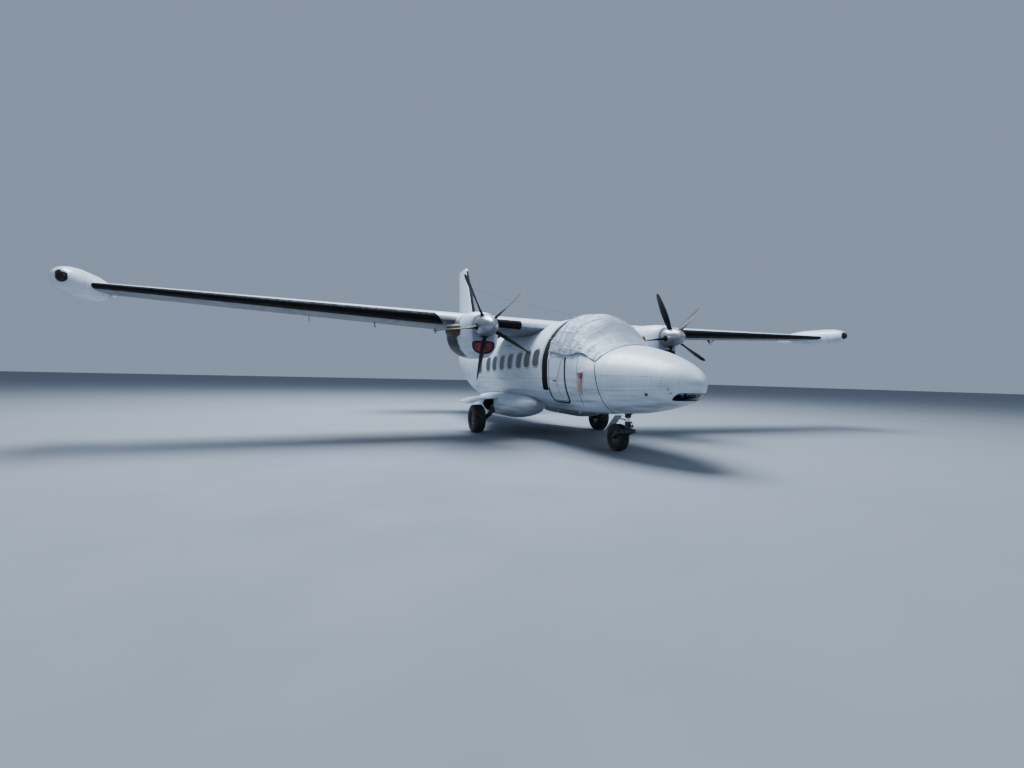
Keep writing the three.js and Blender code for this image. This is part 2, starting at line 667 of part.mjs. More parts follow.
// The two thin fins end inside the hull's outline and are cut off at its skin.
const TAIL_CONE = [9000, 14100];
const DORSAL_FOOT = 2700;
const DORSAL = table(['station', 'half', 'top'], [[10000, 20, 2790], [12350, 60, 3420]]);
const VENTRAL_FOOT = 2400;
const VENTRAL = table(['station', 'half', 'bottom'], [
  [12450, 8, 2150],
  [12800, 22, 1560],
  [13600, 22, 1900],
  [13850, 8, 2300],
]);
const tailCone = hull(-TOUCHING_GAP, ...TAIL_CONE);
const dorsalFin = cut(loft(DORSAL.map(({ station, half, top }) => [
  vector(-half, aft(station), DORSAL_FOOT), vector(half, aft(station), DORSAL_FOOT),
  vector(half / 2, aft(station), top), vector(-half / 2, aft(station), top)])), finSpace, tailCone);
const ventralFin = cut(loft(VENTRAL.map(({ station, half, bottom }) => [
  vector(-half, aft(station), bottom), vector(half, aft(station), bottom),
  vector(half, aft(station), VENTRAL_FOOT), vector(-half, aft(station), VENTRAL_FOOT)])), tailCone);

// Landing gear
const MAIN_WHEEL_RADIUS = 360;
const MAIN_TYRE_WIDTH = 310;
const NOSE_WHEEL_RADIUS = 274;
const NOSE_TYRE_WIDTH = 221;
const TYRE_SEGMENTS = 28;
const NOSE_LEG_STATION = 2060;
const MAIN_DOOR_STATIONS = [5640, 6780];

/** A balloon tyre on its rim line; its flat between two segments stands on the ground. */
function tyre(radius, width, rim, centre) {
  const flat = radius / Math.cos(Math.PI / TYRE_SEGMENTS);
  const half = width / 2;
  const profile = [[rim, -half * 0.62], [rim + 25, -half * 0.82], [lerp(rim, flat, 0.5), -half],
    [flat * 0.93, -half * 0.78], [flat, -half * 0.4], [flat, half * 0.4], [flat * 0.93, half * 0.78],
    [lerp(rim, flat, 0.5), half], [rim + 25, half * 0.82], [rim, half * 0.62], [rim, -half * 0.62]];
  return wheelLathe(profile, centre, TYRE_SEGMENTS);
}

/** A dished wheel inside its tyre, with a bore for the axle. */
function wheel(rim, width, bore, centre) {
  const edge = rim * Math.cos(Math.PI / TYRE_SEGMENTS) - TOUCHING_GAP;
  const half = width * 0.31;
  const profile = [[bore, -half * 0.7], [edge * 0.55, -half * 0.7], [edge * 0.85, -half * 0.75],
    [edge, -half], [edge, half], [edge * 0.85, half * 0.75], [edge * 0.5, half * 0.45],
    [bore, half * 0.55], [bore, -half * 0.7]];
  return wheelLathe(profile, centre, 16);
}

const MAIN_RIM = 165;
const MAIN_BORE = 50;
const NOSE_RIM = 125;
const NOSE_BORE = 34;
const mainWheelCentre = vector(TRACK / 2, aft(MAIN_GEAR_STATION), MAIN_WHEEL_RADIUS);
const noseWheelCentre = vector(0, aft(NOSE_WHEEL_STATION), NOSE_WHEEL_RADIUS);

const FAIRING = table(['station', 'x', 'halfWidth', 'bottom', 'widest', 'top'], [
  [4400, 850, 60, 790, 840, 890],
  [4600, 890, 290, 650, 790, 950],
  [4950, 920, 470, 500, 745, 1000],
  [5500, 940, 560, 430, 730, 1020],
  [6850, 940, 560, 440, 730, 1020],
  [7300, 920, 470, 540, 760, 1000],
  [7950, 890, 270, 690, 820, 950],
  [8350, 870, 60, 810, 860, 910],
]);
const FAIRING_POINTS = 24;
const FAIRING_POWER = 2.2;
const WELL = { inner: 1180, outer: 1600, station: 6120, height: 700, halfLength: 430, halfHeight: 200 };
const wheelWell = loft([WELL.inner, WELL.outer].map((x) => Array.from({ length: 20 }, (_, i) => vector(
  x, aft(WELL.station) + WELL.halfLength * Math.cos((Math.PI * i) / 10),
  WELL.height + WELL.halfHeight * Math.sin((Math.PI * i) / 10)))));
const fairingBody = (grow) => loft(FAIRING.map((row) => ovalRing({
  ...row,
  halfWidth: row.halfWidth + grow,
  bottom: row.bottom - grow,
  top: row.top + grow,
}, FAIRING_POINTS, FAIRING_POWER)));
const gearFairing = cut(fairingBody(0), hull(-TOUCHING_GAP, NOSE_JOINT, CABIN_END), wheelWell);

const AXLE_PLAY = 6;
const axleInner = mainWheelCentre.clone().add(vector(-265, 0, 0));
const axleOuter = mainWheelCentre.clone().add(vector(70, 0, 0));
const mainLegFoot = mainWheelCentre.clone().add(vector(-215, 0, 0));
const braceFoot = mainLegFoot.clone().add(vector(-10, -60, 30));
const MAIN_LEG_BARS = [
  [vector(WELL.inner + TOUCHING_GAP, aft(5830), 690), vector(1500, aft(5830), 690), 60],
  [vector(1420, aft(5830), 690), vector(1560, aft(5860), 470), 58],
  [vector(1560, aft(5850), 480), mainLegFoot, 52],
  [vector(1330, aft(6050), 740), braceFoot, 42],
  [axleInner, axleOuter, MAIN_BORE - AXLE_PLAY, 16],
];
const mainLeg = joined(...MAIN_LEG_BARS.map((ends) => bar(...ends)));

/** The curved plate over the wheel, from the fairing out and down. */
function mainDoorPlate() {
  const section = new THREE.Shape([
    [1330, 900], [1695, 880], [1925, 830], [2110, 763], [2110, 775], [1930, 845], [1700, 895], [1330, 915],
  ].map(([x, z]) => new THREE.Vector2(x, z)));
  const [from, to] = MAIN_DOOR_STATIONS;
  const plate = new THREE.ExtrudeGeometry(section, { depth: to - from, bevelEnabled: false })
    .rotateX(Math.PI / 2).translate(0, aft(to), 0);
  return cut(plate, fairingBody(TOUCHING_GAP));
}

const NOSE_LEG = [
  [vector(0, aft(NOSE_LEG_STATION), 700), vector(0, aft(NOSE_LEG_STATION), 980), 62, 16],
  [vector(-150, aft(NOSE_LEG_STATION), 850), vector(150, aft(NOSE_LEG_STATION), 850), 35],
  [vector(0, aft(NOSE_LEG_STATION), 740), vector(0, aft(1770), 880), 26],
];
const noseLeg = joined(...NOSE_LEG.map((ends) => bar(...ends)));
const FORK_ARM = 142;
const FORK_CROWN = [
  vector(-165, aft(NOSE_LEG_STATION - 50), 390),
  vector(165, aft(NOSE_LEG_STATION + 50), 470),
];
const noseFork = joined(
  bar(vector(0, aft(NOSE_LEG_STATION), 400), vector(0, aft(NOSE_LEG_STATION), 694), 48, 16),
  box(...FORK_CROWN),
  ...[-FORK_ARM, FORK_ARM].map((x) => bar(
    vector(x, aft(NOSE_LEG_STATION), 420), vector(x, aft(NOSE_WHEEL_STATION), NOSE_WHEEL_RADIUS), 24)),
  bar(vector(-165, aft(NOSE_WHEEL_STATION), NOSE_WHEEL_RADIUS),
    vector(165, aft(NOSE_WHEEL_STATION), NOSE_WHEEL_RADIUS), NOSE_BORE - AXLE_PLAY, 16));
const NOSE_WELL = [vector(-190, aft(1690), 650), vector(190, aft(2640), 1120)];
const noseWell = box(...NOSE_WELL);
const NOSE_DOOR = { halfWidth: 85, thickness: 9, top: [2385, 712], foot: [2790, 330] };
const noseDoor = joined(
  loft([NOSE_DOOR.top, NOSE_DOOR.foot].map(([station, z]) => [
    [-1, 0], [1, 0], [1, 1], [-1, 1],
  ].map(([side, out]) => vector(side * NOSE_DOOR.halfWidth, aft(station + out * NOSE_DOOR.thickness),
    z + out * NOSE_DOOR.thickness)))),
  bar(vector(0, aft(2110), 640), vector(0, aft(2435), 672), 16));

// Cockpit cover, a fitted sheet over the roof and the windscreen with its aft edge slanted up and back
const COVER_OFF = 4;
const COVER_THICKNESS = 8;
const COVER_SPAN = [1660, 4600];
const COVER_OUTLINE = [
  [1780, 1850], [2400, 1930], [2700, 1910], [3100, 1945], [3400, 1985], [3560, 1960], [3790, 2150],
  [3870, 2400], [4030, 2660], [4300, 2800], [4400, 3100], [1780, 3100],
];
const coverRegion = loft([-1300, 1300].map((x) => COVER_OUTLINE.map(
  ([station, z]) => vector(x, aft(station), z))));
const cockpitCover = common(cut(hull(-COVER_OFF - COVER_THICKNESS, ...COVER_SPAN),
  hull(-COVER_OFF, COVER_SPAN[0] - OVERCUT, COVER_SPAN[1] + OVERCUT)), coverRegion);

// Intake plug, a soft pad set in the mouth of each intake
const PLUG_IN_INTAKE = 7;
const PLUG_ROWS = table(['station', 'inset'], [[3925, 14], [3935, 6], [4060, 12], [4075, 20]]);
const plug = aboutEngine(PLUG_ROWS.map(({ station, inset }) => ({
  station,
  halfWidth: INTAKE[0].halfWidth - PLUG_IN_INTAKE - inset,
  bottom: INTAKE[0].bottom + PLUG_IN_INTAKE + inset,
  widest: INTAKE[0].widest,
  top: INTAKE[0].top - PLUG_IN_INTAKE - inset,
})), COWL_POINTS, INTAKE_POWER);

// Nose lamps behind one pane in the lower front of the nose
const LAMP_PANE = { halfWidth: 330, bottom: 1125, top: 1245, back: 520, thickness: 12 };
const LAMP_PANE_END = 3000;
const LAMP_DEPTH = 90;
const NOSE_PROUD = 5;
const lampBand = (grow) => box(
  vector(-LAMP_PANE.halfWidth - grow, aft(NOSE_STATION - OVERCUT), LAMP_PANE.bottom - grow),
  vector(LAMP_PANE.halfWidth + grow, aft(LAMP_PANE.back), LAMP_PANE.top + grow));
const lampPane = common(
  cut(hull(), hull(LAMP_PANE.thickness, NOSE_STATION + LAMP_PANE.thickness, LAMP_PANE_END)), lampBand(0));
const lampRecess = cut(common(hull(-NOSE_PROUD), lampBand(TOUCHING_GAP)),
  hull(LAMP_DEPTH, NOSE_STATION + LAMP_DEPTH, LAMP_PANE_END));

const HULL_REACH = 1300;
const wingSpace = wing.panel(0, span(HULL_REACH), FITTING_GAP);
const wingForHull = joined(wingSpace, mirrored(wingSpace));

// Assembly
const aircraft = new THREE.Group();

function add(name, geometry, material) {
  const mesh = new THREE.Mesh(geometry, material);
  mesh.name = name;
  aircraft.add(mesh);
}

/** The port piece as drawn and its mirror on the starboard side. */
function addPair(name, geometry, material) {
  add(`${name}_port`, geometry, material);
  add(`${name}_starboard`, mirrored(geometry), material);
}

add('nose_cone', cut(hull(0, 0, NOSE_JOINT - TOUCHING_GAP), lampRecess), WHITE_PAINT);
add('nose_lamp_pane', lampPane, LAMP_GLASS);
const NOSE_PAD = { station: 2900, bottom: 715, top: 760 };
const nosePad = box(vector(-PAD_SIZE / 2, aft(NOSE_PAD.station), NOSE_PAD.bottom),
  vector(PAD_SIZE / 2, aft(NOSE_PAD.station + PAD_SIZE), NOSE_PAD.top));
const cabin = cut(hull(0, NOSE_JOINT, CABIN_END - TOUCHING_GAP), wingForHull, noseWell, ...doorRecesses,
  hull(HOLD_WALL, HOLD_FRONT, CABIN_END + OVERCUT));
add('fuselage', joined(cabin, nosePad), WHITE_PAINT);
add('rear_fuselage', cut(hull(0, CABIN_END), hull(REAR_WALL, CABIN_END - OVERCUT, REAR_HOLLOW_END),
  finSpace, rudderCove), WHITE_PAINT);
for (const [name, panel] of Object.entries(doorPanels)) add(name, panel, WHITE_PAINT);
add('cockpit_cover', cockpitCover, COVER_CLOTH);
add('wing_centre', cut(joined(wingCentreHalf, mirrored(wingCentreHalf)), engineBay, mirrored(engineBay)),
  WHITE_PAINT);
addPair('wing_outer', cut(outerWing, engineBay), WHITE_PAINT);
addPair('flap_inner', movers.flap_inner, WHITE_PAINT);
addPair('flap_outer', movers.flap_outer, WHITE_PAINT);
addPair('aileron', movers.aileron, WHITE_PAINT);
addPair('tip_tank', tank(0), WHITE_PAINT);
addPair('nacelle', nacelle, WHITE_PAINT);
addPair('engine', engine, ENGINE_STEEL);
addPair('intake_plug', plug, PLUG_CLOTH);
add('propeller_port', portSet.propeller, BLADE_BLACK);
add('spinner_port', portSet.spinner, SPINNER_METAL);
add('propeller_starboard', mirrored(starboardSet.propeller), BLADE_BLACK);
add('spinner_starboard', mirrored(starboardSet.spinner), SPINNER_METAL);
add('fin', cut(finPanel, rudderCove), WHITE_PAINT);
add('rudder', rudder, WHITE_PAINT);
add('dorsal_fin', dorsalFin, WHITE_PAINT);
add('ventral_fin', ventralFin, WHITE_PAINT);
addPair('tailplane', cut(tailplane.panel(0, 1),
  tailplane.cove(...ELEVATOR_COVE.map(tailSpan), ELEVATOR_HINGE, MOVING_GAP), finSpace, rudderCove),
WHITE_PAINT);
addPair('elevator', tailplane.mover(...ELEVATOR.map(tailSpan), ELEVATOR_HINGE), WHITE_PAINT);
addPair('gear_fairing', gearFairing, WHITE_PAINT);
addPair('main_leg', mainLeg, GEAR_STEEL);
addPair('main_gear_door', mainDoorPlate(), WHITE_PAINT);
addPair('main_tyre', tyre(MAIN_WHEEL_RADIUS, MAIN_TYRE_WIDTH, MAIN_RIM, mainWheelCentre), TYRE_RUBBER);
addPair('main_wheel', wheel(MAIN_RIM, MAIN_TYRE_WIDTH, MAIN_BORE, mainWheelCentre), WHEEL_METAL);
add('nose_leg', noseLeg, GEAR_STEEL);
add('nose_fork', noseFork, GEAR_STEEL);
add('nose_gear_door', noseDoor, WHITE_PAINT);
add('nose_tyre', tyre(NOSE_WHEEL_RADIUS, NOSE_TYRE_WIDTH, NOSE_RIM, noseWheelCentre), TYRE_RUBBER);
add('nose_wheel', wheel(NOSE_RIM, NOSE_TYRE_WIDTH, NOSE_BORE, noseWheelCentre), WHEEL_METAL);

export default aircraft;
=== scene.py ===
"""Finishes a parked twin-turboprop airliner: skins, paint, glass, rubber, cloth and small fittings.

Metres. X runs to the port wing tip, the nose points along -Y and Z is up from the ground. A station
is a distance aft of a datum 0.1 m ahead of the nose tip.
"""

from __future__ import annotations

import logging
from collections.abc import Callable, Iterable, Sequence
from dataclasses import dataclass, field
from enum import Enum, IntEnum
from math import asin, ceil, copysign, cos, hypot, pi, radians, sin, sqrt, tan

import bmesh
import bpy
from mathutils import Matrix, Vector, noise


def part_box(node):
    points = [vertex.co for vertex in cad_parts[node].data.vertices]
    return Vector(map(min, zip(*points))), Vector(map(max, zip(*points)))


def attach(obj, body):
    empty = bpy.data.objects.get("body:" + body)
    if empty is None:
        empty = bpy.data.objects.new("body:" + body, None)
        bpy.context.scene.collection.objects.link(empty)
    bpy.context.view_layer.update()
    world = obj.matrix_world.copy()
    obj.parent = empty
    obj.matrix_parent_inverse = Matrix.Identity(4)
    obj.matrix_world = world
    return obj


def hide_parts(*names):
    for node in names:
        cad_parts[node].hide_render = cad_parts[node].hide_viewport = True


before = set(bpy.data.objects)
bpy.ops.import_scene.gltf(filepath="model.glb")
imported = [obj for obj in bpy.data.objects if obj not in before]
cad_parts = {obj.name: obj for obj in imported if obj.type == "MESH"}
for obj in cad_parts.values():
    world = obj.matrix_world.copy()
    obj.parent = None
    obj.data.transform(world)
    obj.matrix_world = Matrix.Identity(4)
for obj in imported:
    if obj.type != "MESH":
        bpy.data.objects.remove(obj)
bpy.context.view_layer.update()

LOG = logging.getLogger("airliner")

NOSE_STATION = 0.100
TAIL_STATION = 14.524
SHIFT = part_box("nose_cone")[0][1] - NOSE_STATION
SPINNER_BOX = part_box("spinner_port")
ENGINE_SPAN = (SPINNER_BOX[0][0] + SPINNER_BOX[1][0]) / 2
SHAFT_HEIGHT = (SPINNER_BOX[0][2] + SPINNER_BOX[1][2]) / 2
FIN_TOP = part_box("fin")[1][2]
AIRFRAME = "airframe"
ACROSS, AFTWARD, UP = Vector((1, 0, 0)), Vector((0, 1, 0)), Vector((0, 0, 1))

Pair = tuple[float, float]
Triple = tuple[float, float, float]
Colour = Triple
Place = Callable[[float, float], Vector]
Laid = Callable[[float, float, float], Vector]


class Side(IntEnum):
    """The two sides of the aircraft, with the sign of X."""

    PORT = 1
    STARBOARD = -1

    @property
    def word(self) -> str:
        """The side's name as the nodes and bodies spell it."""
        return self.name.lower()


class Slot(Enum):
    """The record's material slots."""

    WHITE = "white_paint"
    BLADE = "blade_black"
    SPINNER = "spinner_metal"
    ENGINE = "engine_steel"
    GEAR = "gear_steel"
    WHEEL = "wheel_metal"
    TYRE = "tyre"
    LAMP = "lamp_glass"
    COVER = "cover_cloth"
    PLUG = "plug_cloth"


def aft(station: float) -> float:
    """The Y of a station."""
    return station + SHIFT


def at(across: float, station: float, height: float) -> Vector:
    """A point at a distance from the middle, a station and a height."""
    return Vector((across, aft(station), height))


def lerp(low: float, high: float, share: float) -> float:
    """A size between two others."""
    return low + (high - low) * share


def steps_between(first: float, last: float, count: int) -> list[float]:
    """Even steps from the first to the last."""
    return [lerp(first, last, k / count) for k in range(count + 1)]


def circle(count: int, start: float = 0.0) -> list[float]:
    """Even angles all the way round, in radians."""
    return [2 * pi * (k + start) / count for k in range(count)]


def arc(first: float, last: float, count: int) -> list[float]:
    """Even angles from one in degrees to another, in radians."""
    return [radians(angle) for angle in steps_between(first, last, count)]


def clamp(value: float, low: float = 0.0, high: float = 1.0) -> float:
    """A value held between two limits."""
    return min(max(value, low), high)


def ease(value: float, low: float, high: float) -> float:
    """A smooth step from 0 at the low value to 1 at the high one."""
    share = clamp((value - low) / (high - low))
    return share * share * (3 - 2 * share)


class Track:
    """A smooth size through the rows of a table, which never swings past a row."""

    def __init__(self, places: Sequence[float], sizes: Sequence[float]) -> None:
        """Works out the slope at each row.

        Args:
            places: Where the rows are, in rising order.
            sizes: The size at each row.
        """
        self.places = list(places)
        self.sizes = list(sizes)
        count = len(self.places)
        steps = [self.places[i + 1] - self.places[i] for i in range(count - 1)]
        rises = [(self.sizes[i + 1] - self.sizes[i]) / steps[i] for i in range(count - 1)]
        self.slopes = [rises[0]] + [0.0] * (count - 2) + [rises[-1]]
        for i in range(1, count - 1):
            before, after = rises[i - 1], rises[i]
            if before * after > 0:
                near = 2 * steps[i] + steps[i - 1]
                far = steps[i] + 2 * steps[i - 1]
                self.slopes[i] = (near + far) / (near / before + far / after)

    def at(self, place: float) -> float:
        """The size at a place, held at the first and last rows.

        Args:
            place: The place.

        Returns:
            The size.
        """
        if place <= self.places[0]:
            return self.sizes[0]
        if place >= self.places[-1]:
            return self.sizes[-1]
        i = next(k for k, edge in enumerate(self.places) if edge > place) - 1
        step = self.places[i + 1] - self.places[i]
        t = (place - self.places[i]) / step
        low, high = self.sizes[i], self.sizes[i + 1]
        return (
            low * (1 + 2 * t) * (1 - t) ** 2
            + high * t * t * (3 - 2 * t)
            + step * t * (1 - t) * (self.slopes[i] * (1 - t) - self.slopes[i + 1] * t)
        )


# Finishes


class Recipe:
    """A material's node tree, with short calls for the nodes that the finishes use."""

    def __init__(self, name: str) -> None:
        """Starts a material with a principled shader.

        Args:
            name: The material's name.
        """
        self.material = bpy.data.materials.new(name)
        self.material.use_nodes = True
        self.tree = self.material.node_tree
        self.tree.nodes.clear()
        self.shader = self.tree.nodes.new("ShaderNodeBsdfPrincipled")
        output = self.tree.nodes.new("ShaderNodeOutputMaterial")
        self.tree.links.new(self.shader.outputs[0], output.inputs[0])
        self.coords = self.tree.nodes.new("ShaderNodeTexCoord")
        self.split = self.node("ShaderNodeSeparateXYZ", {0: self.coords.outputs["Object"]})

    def node(self, kind: str, inputs: dict[int | str, object], **settings: object) -> bpy.types.Node:
        """Adds a node.

        Args:
            kind: Blender's name of the node.
            inputs: What goes into its sockets, a value or another node's output.
            **settings: The node's own settings.

        Returns:
            The new node.
        """
        made = self.tree.nodes.new(kind)
        for name, value in settings.items():
            setattr(made, name, value)
        for key, value in inputs.items():
            self.feed(made.inputs[key], value)
        return made

    def feed(self, socket: bpy.types.NodeSocket, value: object) -> None:
        """Links an output to a socket, or sets the socket's own value.

        Args:
            socket: The socket.
            value: The output or the value.
        """
        if isinstance(value, bpy.types.NodeSocket):
            self.tree.links.new(value, socket)
        else:
            socket.default_value = value

    def set(self, **inputs: object) -> None:
        """Feeds the shader's sockets, their names with _ for a space."""
        for name, value in inputs.items():
            self.feed(self.shader.inputs[name.replace("_", " ")], value)

    def maths(self, operation: str, a: object, b: object = 0.0) -> bpy.types.NodeSocket:
        """The result of one sum."""
        return self.node("ShaderNodeMath", {0: a, 1: b}, operation=operation).outputs[0]

    def noise(self, scale: float, detail: float = 3.0, stretch: Triple = (1, 1, 1),
              place: Triple = (0, 0, 0)) -> bpy.types.NodeSocket:
        """Noise from 0 to 1 on the object's own place.

        Args:
            scale: How many blotches there are to a metre.
            detail: How much finer noise is in it.
            stretch: How much closer it is along each axis.
            place: Where it starts, so that two noises differ.

        Returns:
            The noise's output.
        """
        moved = self.node("ShaderNodeMapping", {0: self.coords.outputs["Object"], 1: place, 3: stretch})
        return self.node(
            "ShaderNodeTexNoise", {"Vector": moved.outputs[0], "Scale": scale, "Detail": detail}
        ).outputs[0]

    def span(self, value: object, low: float, high: float, start: float = 0.0,
             end: float = 1.0) -> bpy.types.NodeSocket:
        """The value's place between a low and a high one, held between a start and an end."""
        return self.node("ShaderNodeMapRange", {0: value, 1: low, 2: high, 3: start, 4: end}).outputs[0]

    def mix(self, share: object, low: object, high: object) -> bpy.types.NodeSocket:
        """A colour between two others.

        Args:
            share: The share of the second colour.
            low: The first colour.
            high: The second colour.

        Returns:
            The colour's output.
        """
        made = self.node("ShaderNodeMix", {0: share}, data_type="RGBA")
        for index, colour in ((6, low), (7, high)):
            self.feed(made.inputs[index], (*colour, 1.0) if isinstance(colour, tuple) else colour)
        return made.outputs[2]

    def bump(self, height: object, distance: float, strength: float = 1.0) -> None:
        """Puts a relief on the surface, over any that is there already.

        Args:
            height: The relief's output.
            distance: Its depth in metres.
            strength: How much of it shows.
        """
        inputs: dict[int | str, object] = {"Height": height, "Distance": distance, "Strength": strength}
        under = self.shader.inputs["Normal"]
        if under.is_linked:
            inputs["Normal"] = under.links[0].from_socket
        made = self.node("ShaderNodeBump", inputs)
        self.feed(under, made.outputs[0])


@dataclass(frozen=True)
class Finish:
    """A finish with a base colour and a little unevenness.

    Attributes:
        name: The material's name.
        colour: The clean colour.
        worn: The colour of its blotches, and on cloth also of the painted shade along its creases.
        roughness: The mean roughness.
        metallic: 1 for bare metal.
        blotch: Blotches to a metre.
        spread: How much of the worn colour shows.
        relief: The depth of its fine unevenness in metres.
        grain: Grains to a metre of that unevenness.
        stretch: How much closer the pattern is along each axis.
        sheen: Cloth's or dusty rubber's sheen.
        coat: A clear coat's weight.
        shine: The level of its mirror reflection.
    """

    name: str
    colour: Colour
    worn: Colour
    roughness: float = 0.5
    metallic: float = 0.0
    blotch: float = 3.0
    spread: float = 0.5
    relief: float = 0.0004
    grain: float = 60.0
    stretch: Triple = (1, 1, 1)
    sheen: float = 0.0
    coat: float = 0.0
    shine: float = 0.5

    def build(self) -> bpy.types.Material:
        """The finish's material, made once.

        Returns:
            The material.
        """
        made = bpy.data.materials.get(self.name)
        if made:
            return made
        recipe = Recipe(self.name)
        recipe.set(Metallic=self.metallic, Sheen_Weight=self.sheen, Coat_Weight=self.coat,
                   Specular_IOR_Level=self.shine)
        self.dress(recipe)
        return recipe.material

    def dress(self, recipe: Recipe) -> bpy.types.NodeSocket:
        """Fills the recipe's colour, roughness and relief.

        Args:
            recipe: The material's node tree.

        Returns:
            The colour's output, for a finish that lays more over it.
        """
        blotches = recipe.noise(self.blotch, 5.0, self.stretch)
        colour = recipe.mix(recipe.span(blotches, 0.42, 0.75, 0.0, self.spread), self.colour, self.worn)
        recipe.set(Base_Color=colour)
        recipe.set(Roughness=recipe.span(
            recipe.noise(self.blotch * 4, 3.0, self.stretch, (5, 3, 1)), 0.3, 0.7,
            self.roughness * 0.82, min(self.roughness * 1.18, 1.0)))
        recipe.bump(recipe.noise(self.grain, 2.0, self.stretch), self.relief)
        return colour


@dataclass(frozen=True)
class Lattice:
    """Rows of skin seams and rivets at even distances along one axis.

    Attributes:
        axis: The axis that the rows are counted along, x, y, z or arc for the way round a hull.
        spacing: The distance from one row to the next.
        start: Where a row is.
        across: The axis that the rivets are counted along.
        pitch: The distance from one rivet to the next.
    """

    axis: str
    spacing: float
    start: float
    across: str
    pitch: float = 0.035


SEAM_DEPTH = 0.0008
RIVET_OFF = 0.014
RIVET_HEIGHT = 0.0004
SEAM_DIRT = (0.16, 0.17, 0.18)
RIVET_GREY = (0.3, 0.31, 0.32)
WHITE = (0.67, 0.735, 0.82)
WORN_WHITE = (0.52, 0.575, 0.65)


@dataclass(frozen=True)
class Paint(Finish):
    """White aircraft paint with seams, rivets, and streaked grime that is also painted shade, darker towards
    the bottom.

    Attributes:
        colour: The clean white.
        worn: The white of its blotches.
        roughness: The mean roughness.
        coat: Its clear coat's weight.
        lattices: The rows of seams and rivets.
        grime_and_shade: The colour of the dirt and the painted shade.
        belly: Height under which the dirt and painted shade grow, and their greatest share.
        centre: The height of the hull's middle, for rows that run round it.
    """

    colour: Colour = WHITE
    worn: Colour = WORN_WHITE
    roughness: float = 0.36
    coat: float = 0.2
    lattices: tuple[Lattice, ...] = ()
    grime_and_shade: Colour = (0.17, 0.17, 0.17)
    belly: Pair = (0.9, 0.35)
    centre: float = 1.75

    def coordinate(self, recipe: Recipe, axis: str) -> bpy.types.NodeSocket:
        """The output that counts along an axis.

        Args:
            recipe: The material's node tree.
            axis: The axis, as a lattice names it.

        Returns:
            That output.
        """
        if axis != "arc":
            return recipe.split.outputs["xyz".index(axis)]
        up = recipe.maths("SUBTRACT", recipe.split.outputs[2], self.centre)
        return recipe.maths("ARCTAN2", up, recipe.split.outputs[0])

    def dress(self, recipe: Recipe) -> bpy.types.NodeSocket:
        """Lays streaked grime and painted shade, darker towards the bottom, then seams and rivets over the
        paint.

        Args:
            recipe: The material's node tree.

        Returns:
            The colour's output.
        """
        colour = Finish.dress(self, recipe)
        # Painted shade: below the belly height the paint darkens in streaks towards the grime colour, for
        # the shade under the aircraft as well as its dirt.
        streaks = recipe.noise(2.2, 6.0, (1.5, 0.35, 6.0), (2, 7, 4))
        low, most = self.belly
        under = recipe.span(recipe.split.outputs[2], low + 0.5, low - 0.3, 0.06, most)
        dirt_and_shade = recipe.maths("MULTIPLY", recipe.span(streaks, 0.42, 0.72), under)
        colour = recipe.mix(dirt_and_shade, colour, self.grime_and_shade)
        for row in self.lattices:
            along = self.coordinate(recipe, row.axis)
            across = self.coordinate(recipe, row.across)
            off = recipe.maths("PINGPONG", recipe.maths("SUBTRACT", along, row.start), row.spacing / 2)
            seam = recipe.span(off, 0.0008, 0.0022, 1.0, 0.0)
            beside = recipe.maths("ABSOLUTE", recipe.maths("SUBTRACT", off, RIVET_OFF))
            step = recipe.maths("PINGPONG", across, row.pitch / 2)
            squares = (recipe.maths("POWER", length, 2.0) for length in (beside, step))
            away = recipe.maths("SQRT", recipe.maths("ADD", *squares))
            rivet = recipe.span(away, 0.0022, 0.0034, 1.0, 0.0)
            colour = recipe.mix(recipe.maths("MULTIPLY", seam, 0.62), colour, SEAM_DIRT)
            colour = recipe.mix(recipe.maths("MULTIPLY", rivet, 0.3), colour, RIVET_GREY)
            recipe.bump(recipe.maths("SUBTRACT", 1.0, seam), SEAM_DEPTH)
            recipe.bump(rivet, RIVET_HEIGHT)
        recipe.set(Base_Color=colour)
        return colour


@dataclass(frozen=True)
class WingPaint(Paint):
    """Wing paint whose underside is darkened in streaks as painted shade.

    Attributes:
        streak: The colour of the painted shade on the underside, laid in streaks.
    """

    streak: Colour = (0.095, 0.095, 0.10)

    def dress(self, recipe: Recipe) -> bpy.types.NodeSocket:
        """Lays painted shade in dark streaks over the paint on the wing's underside, and dulls its shine
        there.

        Args:
            recipe: The material's node tree.

        Returns:
            The colour's output.
        """
        colour = Paint.dress(self, recipe)
        x, z = recipe.split.outputs[0], recipe.split.outputs[2]
        climb = (WING_TIP_HEIGHT - WING_LEAD_HEIGHT) / WING_TIP
        middle = recipe.maths("ADD", recipe.maths("MULTIPLY", recipe.maths("ABSOLUTE", x), climb),
                              WING_LEAD_HEIGHT)
        # Painted shade: the underside is darkened in streaks towards a near-black colour, with its shine and
        # coat lowered, for the shade under the wing.
        under = recipe.span(recipe.maths("SUBTRACT", z, middle), -0.050, -0.015, 1.0, 0.0)
        streaks = recipe.span(recipe.noise(3.0, 5.0, (2.2, 0.3, 1.0), (6, 1, 3)), 0.3, 0.7, 0.76, 0.94)
        colour = recipe.mix(recipe.maths("MULTIPLY", under, streaks), colour, self.streak)
        recipe.set(Base_Color=colour, Specular_IOR_Level=recipe.span(under, 0.0, 1.0, self.shine, 0.08),
                   Coat_Weight=recipe.span(under, 0.0, 1.0, self.coat, 0.0))
        return colour


